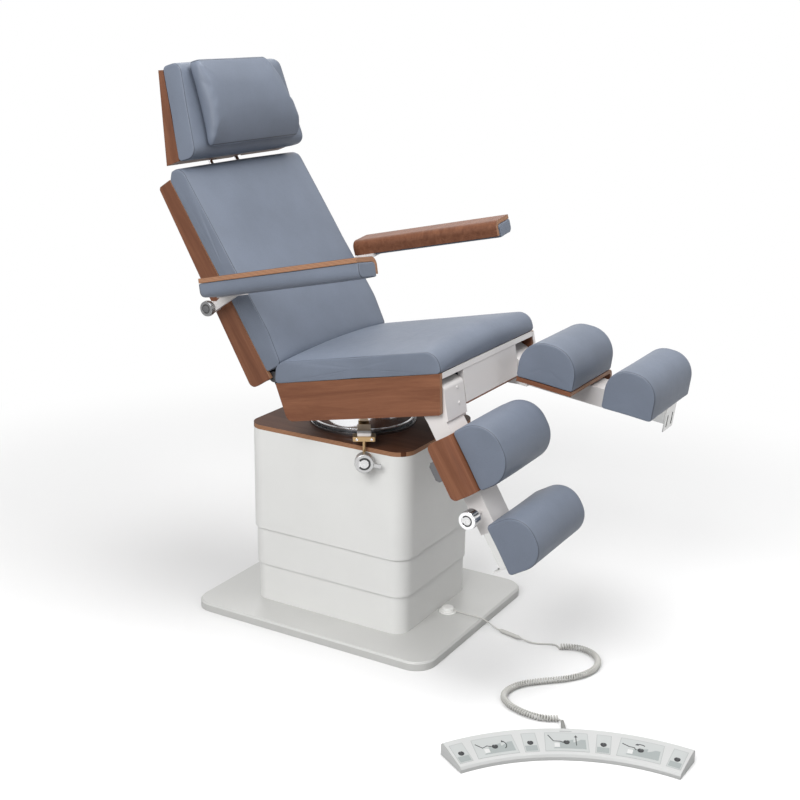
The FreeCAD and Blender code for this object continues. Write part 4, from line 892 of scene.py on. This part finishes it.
def add_buttons():
    """Domed rubber caps on the seven sprung buttons."""
    for i in range(1, 8):
        low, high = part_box("button_%d" % i)
        centre = Vector(((low.x + high.x) / 2, (low.y + high.y) / 2, high.z - 3 * MM))
        cap = lathe("button_cap_%d" % i, centre, (0, 0, 1), BUTTON_PROFILE, BUTTON_BLACK,
                    "button_%d" % i, 40)
        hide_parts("button_%d" % i)


RELIEF_ROOT, RELIEF_TIP, RELIEF_LENGTH, RELIEF_RIBS = 6.5, 3.8, 58, 9
RELIEF_PLACE = 567


def add_strain_relief():
    """A tapered, ribbed relief in place of the plain cone."""
    root = control_point(RELIEF_PLACE, 0, 14)
    tip = control_point(RELIEF_PLACE + RELIEF_LENGTH, 0, 14)
    profile = [(0, -1.5), (RELIEF_ROOT, -1.5), (RELIEF_ROOT, RELIEF_LENGTH * 0.16)]
    for k in range(RELIEF_RIBS):
        share = k / RELIEF_RIBS
        radius = RELIEF_ROOT + (RELIEF_TIP - RELIEF_ROOT) * share
        start = RELIEF_LENGTH * (0.16 + 0.80 * share)
        profile += [(radius - 1.3, start + 0.8), (radius - 1.3, start + 2.4),
                    (radius, start + 3.2), (radius - 0.15, start + 4.9)]
    profile += [(3.7, 57.0), (3.2, 58.0), (2.2, 58.0), (0, 57.8)]
    piece = lathe("ribbed_relief", root, tip - root, profile, RELIEF_GRAY, "pedestal",
                  40)
    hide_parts("strain_relief")


# Small hardware
def socket_screw(name, origin, axis, radius, material, body):
    profile = [(0, -1), (radius, -1), (radius, radius * 0.35), (radius * 0.9, radius * 0.52),
               (radius * 0.62, radius * 0.6), (radius * 0.5, radius * 0.6),
               (radius * 0.5, radius * 0.1), (0, radius * 0.1)]
    lathe(name, origin, axis, profile, material, body, 32)


# The open side of the painted reflection ring on a knob's face in degrees, the ring's steps and the ribs of the
# grip
REFLECTION_GAP, KNOB_STEPS, KNOB_RIBS = 35, 30, 28
REFLECTION_RING = ((0.46, -1.2), (0.46, -0.35), (0.66, -0.35), (0.66, -1.2))
RIB_PROFILE = [(0, 0), (0.55, 0.2), (0.85, 1.0), (0.85, 6.0), (0.55, 6.8), (0, 7)]


def knob_dress(name, body, face, axis, radius, finish=None):
    """A ribbed grip and a face with a dark, open ring of painted reflection on a clamping knob."""
    origin, axis = Vector(face) * MM, Vector(axis).normalized()
    profile = [(0, -2), (radius * 0.6, -2), (radius * 0.6, -0.9), (radius * 0.52, -0.9),
               (radius * 0.5, -0.5), (radius * 0.34, -0.5), (radius * 0.31, -0.2), (0, -0.2)]
    lathe(name + "_face", origin, axis, profile, finish or KNOB_FACE, body)
    first = axis.cross(Vector((0, 0, 1))).normalized()
    second = axis.cross(first)
    # The dark open ring is a painted reflection on the knob's face
    points, faces = [], []
    for k in range(KNOB_STEPS + 1):
        angle = math.radians(REFLECTION_GAP + (360 - 2 * REFLECTION_GAP) * k / KNOB_STEPS)
        way = first * math.cos(angle) + second * math.sin(angle)
        points += [origin + (way * radius * share + axis * height) * MM
                   for share, height in REFLECTION_RING]
    for k in range(KNOB_STEPS):
        a, b = 4 * k, 4 * (k + 1)
        faces += [(a + c, a + (c + 1) % 4, b + (c + 1) % 4, b + c) for c in range(4)]
    last = 4 * KNOB_STEPS
    faces += [(0, 1, 2, 3), (last, last + 1, last + 2, last + 3)]
    link(name + "_ring", mesh_of(name + "_ring", points, faces, False), KNOB_PAINTED_REFLECTION, body)
    for k in range(KNOB_RIBS):
        angle = math.tau * k / KNOB_RIBS
        way = first * math.cos(angle) + second * math.sin(angle)
        spot = origin + way * (radius - 0.15) * MM
        lathe("%s_rib_%d" % (name, k), spot - axis * 11 * MM, axis, RIB_PROFILE, STEEL_BARE, body,
              8)


# The swivel lock is drawn outwards from the column's axis and turned to its place
LOCK_TURN = math.radians(32.7)
LOCK_OUT = Vector((-math.cos(LOCK_TURN), -math.sin(LOCK_TURN), 0))
LOCK_ACROSS = Vector((math.sin(LOCK_TURN), -math.cos(LOCK_TURN), 0))
LOCK_KNOB_FACE, LOCK_KNOB_Z, LOCK_KNOB_RADIUS = 289.4, 511, 25
LOCK_PAD_IN, LOCK_PAD_OUT, LOCK_PAD_HALF, LOCK_PAD_Z, LOCK_PAD_RISE = 231.7, 255.3, 17.8, 574.1, 8.4
LOCK_SCREW_OUT, LOCK_SCREW_ACROSS, LOCK_SCREW_Z = 260, 19, 568


def lock_spot(out, across, z):
    return (LOCK_OUT * out + LOCK_ACROSS * across + Vector((0, 0, z))) * MM


def add_lock_parts():
    knob_dress("lock_knob", "lock_knob", lock_spot(LOCK_KNOB_FACE, 0, LOCK_KNOB_Z) / MM, LOCK_OUT,
               LOCK_KNOB_RADIUS)
    pad = arc_points([(LOCK_PAD_IN, -LOCK_PAD_HALF), (LOCK_PAD_OUT, -LOCK_PAD_HALF),
                      (LOCK_PAD_OUT, LOCK_PAD_HALF), (LOCK_PAD_IN, LOCK_PAD_HALF)], [3] * 4, 5)
    plate("lock_pad", [lock_spot(p.x, p.y, LOCK_PAD_Z) for p in pad], (0, 0, LOCK_PAD_RISE * MM),
          STEEL_WHITE, "lift_top", 1.0)
    for k, across in enumerate((-LOCK_SCREW_ACROSS, LOCK_SCREW_ACROSS)):
        socket_screw("lock_screw_%d" % k, lock_spot(LOCK_SCREW_OUT, across, LOCK_SCREW_Z),
                     LOCK_OUT, 3.4, CHROME, "lift_top")


def add_trim():
    """The front panel's lower strip, the right apron's end cap and the gland's flange."""
    strip = [seat.at(x, s, -98.3)
             for x, s in ((-148, 484), (-148, 489.6), (148, 489.6), (148, 484))]
    plate("front_strip", strip, seat.way(0, 0, -3.4) * MM, PLY_STRIP, "seat", 0.4)
    cap = [seat.at(x, 494.1, n)
           for x, n in ((253.2, -2), (264.8, -2), (264.8, -84), (253.2, -84))]
    plate("apron_end_cap", cap, seat.way(0, 1.0, 0) * MM, STEEL_WHITE, "seat", 0.3)
    low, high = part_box("cable_gland")
    flange = Vector(((low.x + high.x) / 2, (low.y + high.y) / 2, 24 * MM))
    lathe("gland_flange", flange, (0, 0, 1), [(8, 0.1), (25, 0.1), (25, 1.8), (23.6, 3), (8, 3)],
          GLAND_WHITE, "pedestal")


# Side, long and upward places in a leg's frame, or X, Y and Z for an armrest, in millimetres
LEG_KNOB_PLACE, LEG_KNOB_RADIUS = (318.3, 295, -22), 23
ARM_KNOB_PLACE, ARM_KNOB_RADIUS = (315.3, 284, 874), 20
SLOT_PLACES, SLOT_HALF, SLOT_TOP, SLOT_FOOT, SLOT_REACH = (189.5, 224.5), 5.5, -22.5, -58.5, 444.8
SADDLE_TAB = ((134, -40), (186, -40), (186, -58), (178, -66), (142, -66), (134, -58))
# The root cover's sloping top: its direction, and its height and fall along the leg
ROOT_NORMAL, ROOT_HEIGHT, ROOT_START, ROOT_FALL = (0, 0.356, 0.934), 38.2, 18, 0.3813
PIVOT_CAP = [(0, -0.2), (6, -0.2), (6, 1.0), (5, 1.8), (3.2, 1.8), (3, 0.8), (0, 0.8)]
COLLAR = [(6.1, -6), (12, -6), (12, 1.2), (11, 2.2), (7, 2.4), (6.1, 1.8)]


def add_side_hardware(side, name):
    leg = legs[name]
    x, s, n = LEG_KNOB_PLACE
    knob_dress("leg_knob_" + name, "leg_knob_" + name, leg.at(side * x, s, n) / MM, (side, 0, 0),
               LEG_KNOB_RADIUS)
    x, y, z = ARM_KNOB_PLACE
    knob_dress("arm_knob_" + name, "armrest_knob_" + name, (side * x, y, z), (side, 0, 0),
               ARM_KNOB_RADIUS, SCREW_GRAY)
    # Black sheets in the slots of the leg extension's plate: painted shade for the open slots
    for k, x in enumerate(SLOT_PLACES):
        slot = [leg.at(side * (x + dx), SLOT_REACH, n)
                for dx, n in ((-SLOT_HALF, SLOT_FOOT), (SLOT_HALF, SLOT_FOOT),
                              (SLOT_HALF, SLOT_TOP), (-SLOT_HALF, SLOT_TOP))]
        plate("slot_painted_shade_%s_%d" % (name, k), slot, leg.way(0, -1.0, 0) * MM, SCREW_BLACK,
              "leg_extension_" + name, 0)
    for k, s in enumerate((32, -4)):
        spot = leg.at(side * 184, s, ROOT_HEIGHT - (s + ROOT_START) * ROOT_FALL)
        socket_screw("root_screw_%s_%d" % (name, k), spot, leg.way(*ROOT_NORMAL), 4, STEEL_WHITE,
                     "leg_" + name)
    lathe("leg_pivot_cap_" + name, leg.at(side * 150.4, 7, -28), (-side, 0, 0), PIVOT_CAP,
          SCREW_BLACK, "leg_" + name)
    plate("saddle_tab_" + name, [leg.at(side * 299, s, n) for s, n in SADDLE_TAB],
          (side * -4 * MM, 0, 0), SCREW_GRAY, "leg_" + name, 0.9)
    for k, s in enumerate((330, 344)):
        lathe("carrier_rivet_%s_%d" % (name, k), leg.at(side * 207, s, 3.2), leg.way(0, 0, -1),
              [(0, 0), (3, 0), (3, 0.2), (0, 0.2)], STEEL_BARE, "leg_" + name, 24)
    lathe("rod_collar_" + name, head_collar_place(side), Vector((0, back.s[0], back.s[1])),
          COLLAR, CHROME, "backrest")


def add_hardware():
    add_lock_parts()
    add_trim()
    for side, name in SIDES:
        add_side_hardware(side, name)


def head_collar_place(side):
    """Where a headrest rod leaves the back frame, in line with the headrest's hinge."""
    pivot = joints["headrest_tilt"]["pos_m"]
    y, z = pivot[1] / MM - back.y, pivot[2] / MM - back.z
    n = y * back.n[0] + z * back.n[1]
    return back.at(side * 58, 572, n)


# Materials of the carried-over solids
def wood_materials():
    woods = {
        # Painted shade: the pedestal's top panel is darkened to 0.55 for the seat's shadow over it; the back
        # shell, headrest panel and arm boards are darker copies of the same walnut
        "pedestal_top_panel": walnut("walnut_panel", (0, 1, 0), (0, 0, 1), [(1, 0, 0), (0, 1, 0)],
                                     shade=0.55, gloss=0.1),
        "seat_aprons": walnut("walnut_apron", seat.way(0, 1, 0), (1, 0, 0),
                              [seat.way(0, 1, 0), seat.way(0, 0, 1)]),
        "back_shell": walnut("walnut_shell", back.way(0, 1, 0), back.way(0, 0, 1),
                             [one_side(back.way(0, 0, 1))], shade=0.82),
        "headrest_panel": walnut("walnut_head", head.way(0, 1, 0), head.way(0, 0, 1), shade=0.82),
    }
    for side, name in SIDES:
        _, outward, long_way, up = board_frame(side)
        woods["armrest_board_" + name] = walnut("walnut_arm_" + name, outward, up,
                                                [one_side(outward), long_way], scale=1.3,
                                                shade=0.86)
        leg = legs[name]
        woods["calf_saddle_" + name] = walnut("walnut_saddle_" + name, leg.way(0, 1, 0),
                                              leg.way(0, 0, 1), [leg.way(0, 1, 0)])
    return woods


def dress_nodes():
    by_slot = {
        "powder_light": POWDER, "steel_white": STEEL_WHITE, "steel_dark": STEEL_DARK,
        "steel_bare": STEEL_BARE, "chrome": CHROME, "upholstery": LEATHERETTE,
        "lock_brass": LOCK_BRASS, "ring_dark": RING_DARK, "control_plastic": CONTROL,
        "button_rubber": BUTTON_BLACK, "cord_gray": CORD_GRAY, "gland_white": GLAND_WHITE,
        "inlet_black": INLET_BLACK,
    }
    by_node = wood_materials()
    by_node.update({"swivel_lock_knob": SATIN, "base_plate": SHADED_BASE_POWDER,
                    "armrest_knob_left": DARK_CHROME, "armrest_knob_right": DARK_CHROME})
    for entry in frame["record"]["subparts"]:
        node = nodes[entry["node"]]
        material = by_node.get(entry["node"]) or by_slot[entry["material_slot"]]
        node.data.materials.clear()
        node.data.materials.append(material)


# Floor, background and lights
FLOOR_HALF, FLOOR_DROP = 9, 0.0004
# The floor's colour where it is seen and where it lights the chair, and where it fades to white
FLOOR_SEEN, FLOOR_BOUNCE = (0.85, 0.85, 0.85), (0.34, 0.34, 0.34)
FLOOR_FADE = (1.3, 2.4)
WORLD_LIGHT = 0.38
# Area lamps: name, place, size and power
LAMPS = (
    ("key", (-3.4, -0.4, 3.0), 2.4, 140),
    ("front", (-1.2, -4.0, 2.2), 2.6, 18),
    ("rim", (3.2, 2.4, 3.2), 2.6, 26),
    ("top", (0.2, -0.9, 4.1), 2.4, 100),
)
LAMP_TARGET = Vector((0, 0, 0.7))


def seen_rays(tree):
    """1 where the camera sees the background, itself or in a reflection."""
    rays = tree.nodes.new("ShaderNodeLightPath")
    seen = maths(tree, "MAXIMUM", rays.outputs["Is Camera Ray"], rays.outputs["Is Glossy Ray"])
    return maths(tree, "MAXIMUM", seen, rays.outputs["Is Transmission Ray"])


def add_floor():
    """A pale floor that keeps the chair's shadow and fades into the white background."""
    half, drop = FLOOR_HALF, -FLOOR_DROP
    mesh = mesh_of("floor", [(-half, -half, drop), (half, -half, drop), (half, half, drop),
                             (-half, half, drop)], [(0, 1, 2, 3)], False)
    floor = add_object("floor", mesh)
    material, tree, shader = new_material("floor")
    colour = mix(tree, seen_rays(tree), FLOOR_BOUNCE, FLOOR_SEEN)
    tree.links.new(colour, shader.inputs["Base Color"])
    shader.inputs["Roughness"].default_value = 0.9
    shader.inputs["Specular IOR Level"].default_value = 0.1
    reach = vector_maths(tree, "LENGTH", mapped(tree))
    fade = tree.nodes.new("ShaderNodeMapRange")
    fade.interpolation_type = "SMOOTHSTEP"
    fade.inputs["From Min"].default_value, fade.inputs["From Max"].default_value = FLOOR_FADE
    tree.links.new(reach.outputs["Value"], fade.inputs["Value"])
    white = tree.nodes.new("ShaderNodeEmission")
    blend = tree.nodes.new("ShaderNodeMixShader")
    whiteness = maths(tree, "MULTIPLY", fade.outputs["Result"], seen_rays(tree))
    tree.links.new(whiteness, blend.inputs["Fac"])
    tree.links.new(shader.outputs["BSDF"], blend.inputs[1])
    tree.links.new(white.outputs["Emission"], blend.inputs[2])
    tree.links.new(blend.outputs["Shader"], tree.nodes["Material Output"].inputs["Surface"])
    mesh.materials.append(material)


def add_world():
    world = bpy.data.worlds.new("world")
    bpy.context.scene.world = world
    world.use_nodes = True
    tree = world.node_tree
    surface = tree.nodes["Background"]
    surface.inputs["Color"].default_value = (1, 1, 1, 1)
    tree.links.new(span(tree, seen_rays(tree), WORLD_LIGHT, 1.0), surface.inputs["Strength"])


def add_lamps():
    for name, place, size, power in LAMPS:
        data = bpy.data.lights.new(name, "AREA")
        data.shape = "SQUARE"
        data.size = size
        data.energy = power
        lamp = add_object(name, data)
        lamp.location = place
        aim = LAMP_TARGET - Vector(place)
        lamp.rotation_euler = aim.to_track_quat("-Z", "Y").to_euler()


POWDER = paint("powder_coat", (0.72, 0.72, 0.705), 0.42, grain=1400, depth=0.00006, mottle=0.02)
# The base plate gets a darker copy of the shrouds' powder coat, as painted shade from the chair above it
SHADED_BASE_POWDER = paint("base_coat_painted_shade", (0.555, 0.555, 0.54), 0.42, grain=1400, depth=0.00006, mottle=0.02)
STEEL_WHITE = paint("white_enamel", (0.69, 0.665, 0.655), 0.34, coat=0.15, mottle=0.02)
STEEL_DARK = paint("dark_paint", (0.055, 0.055, 0.058), 0.5)
STEEL_BARE = brushed("brushed_steel", (0.62, 0.62, 0.61), axis_turn(seat.way(0, 1, 0), (1, 0, 0)))
CHROME = paint("chrome_plate", (0.78, 0.78, 0.79), 0.09, metallic=1.0, grain=500, depth=0.00001,
               mottle=0.02)
LOCK_BRASS = paint("brass_tone", (0.46, 0.31, 0.16), 0.30, metallic=0.85, grain=600, mottle=0.08)
RING_DARK = paint("dark_ring", (0.30, 0.30, 0.31), 0.22, metallic=1.0)
CONTROL = paint("control_plastic", (0.47, 0.475, 0.47), 0.42, grain=1700, depth=0.00005,
                mottle=0.015)
RIM_GRAY = paint("label_rim", (0.30, 0.31, 0.31), 0.4, edge=0)
LABEL = paint("label", (0.415, 0.43, 0.425), 0.4, mottle=0.02, edge=0)
LABEL_TONE = paint("label_tone", (0.275, 0.30, 0.295), 0.4, mottle=0.02, edge=0)
LABEL_PALE = paint("label_pale", (0.55, 0.555, 0.55), 0.3, mottle=0.02, edge=0)
BUTTON_BLACK = paint("button_rubber", (0.028, 0.029, 0.031), 0.6, grain=1200)
CORD_GRAY = paint("cord_pvc", (0.52, 0.515, 0.49), 0.42, mottle=0.05)
RELIEF_GRAY = paint("relief_pvc", (0.23, 0.23, 0.22), 0.45, mottle=0.05)
GLAND_WHITE = paint("gland_white", (0.80, 0.80, 0.78), 0.35)
INLET_BLACK = paint("inlet_black", (0.012, 0.012, 0.013), 0.4)
SCREW_GRAY = paint("screw_gray", (0.13, 0.13, 0.135), 0.4, metallic=0.6)
SCREW_BLACK = paint("screw_black", (0.015, 0.015, 0.016), 0.35)
DARK_CHROME = paint("dark_chrome", (0.24, 0.24, 0.245), 0.22, metallic=0.9)
SATIN = paint("satin_chrome", (0.52, 0.52, 0.52), 0.32, metallic=0.85)
KNOB_FACE = paint("knob_face", (0.70, 0.70, 0.70), 0.28, metallic=0.6)
# Near-black for the painted reflection ring on the knob faces
KNOB_PAINTED_REFLECTION = paint("knob_painted_reflection", (0.03, 0.03, 0.03), 0.4)
PLY_STRIP = paint("ply_strip", (0.15, 0.06, 0.03), 0.5, mottle=0.2)
LEATHERETTE = leatherette()

add_camera()
dress_nodes()
add_cords()
add_strain_relief()
add_cushions()
add_foot_control()
add_buttons()
add_hardware()
add_floor()
add_world()
add_lamps()
bpy.context.scene.view_settings.view_transform = "Standard"
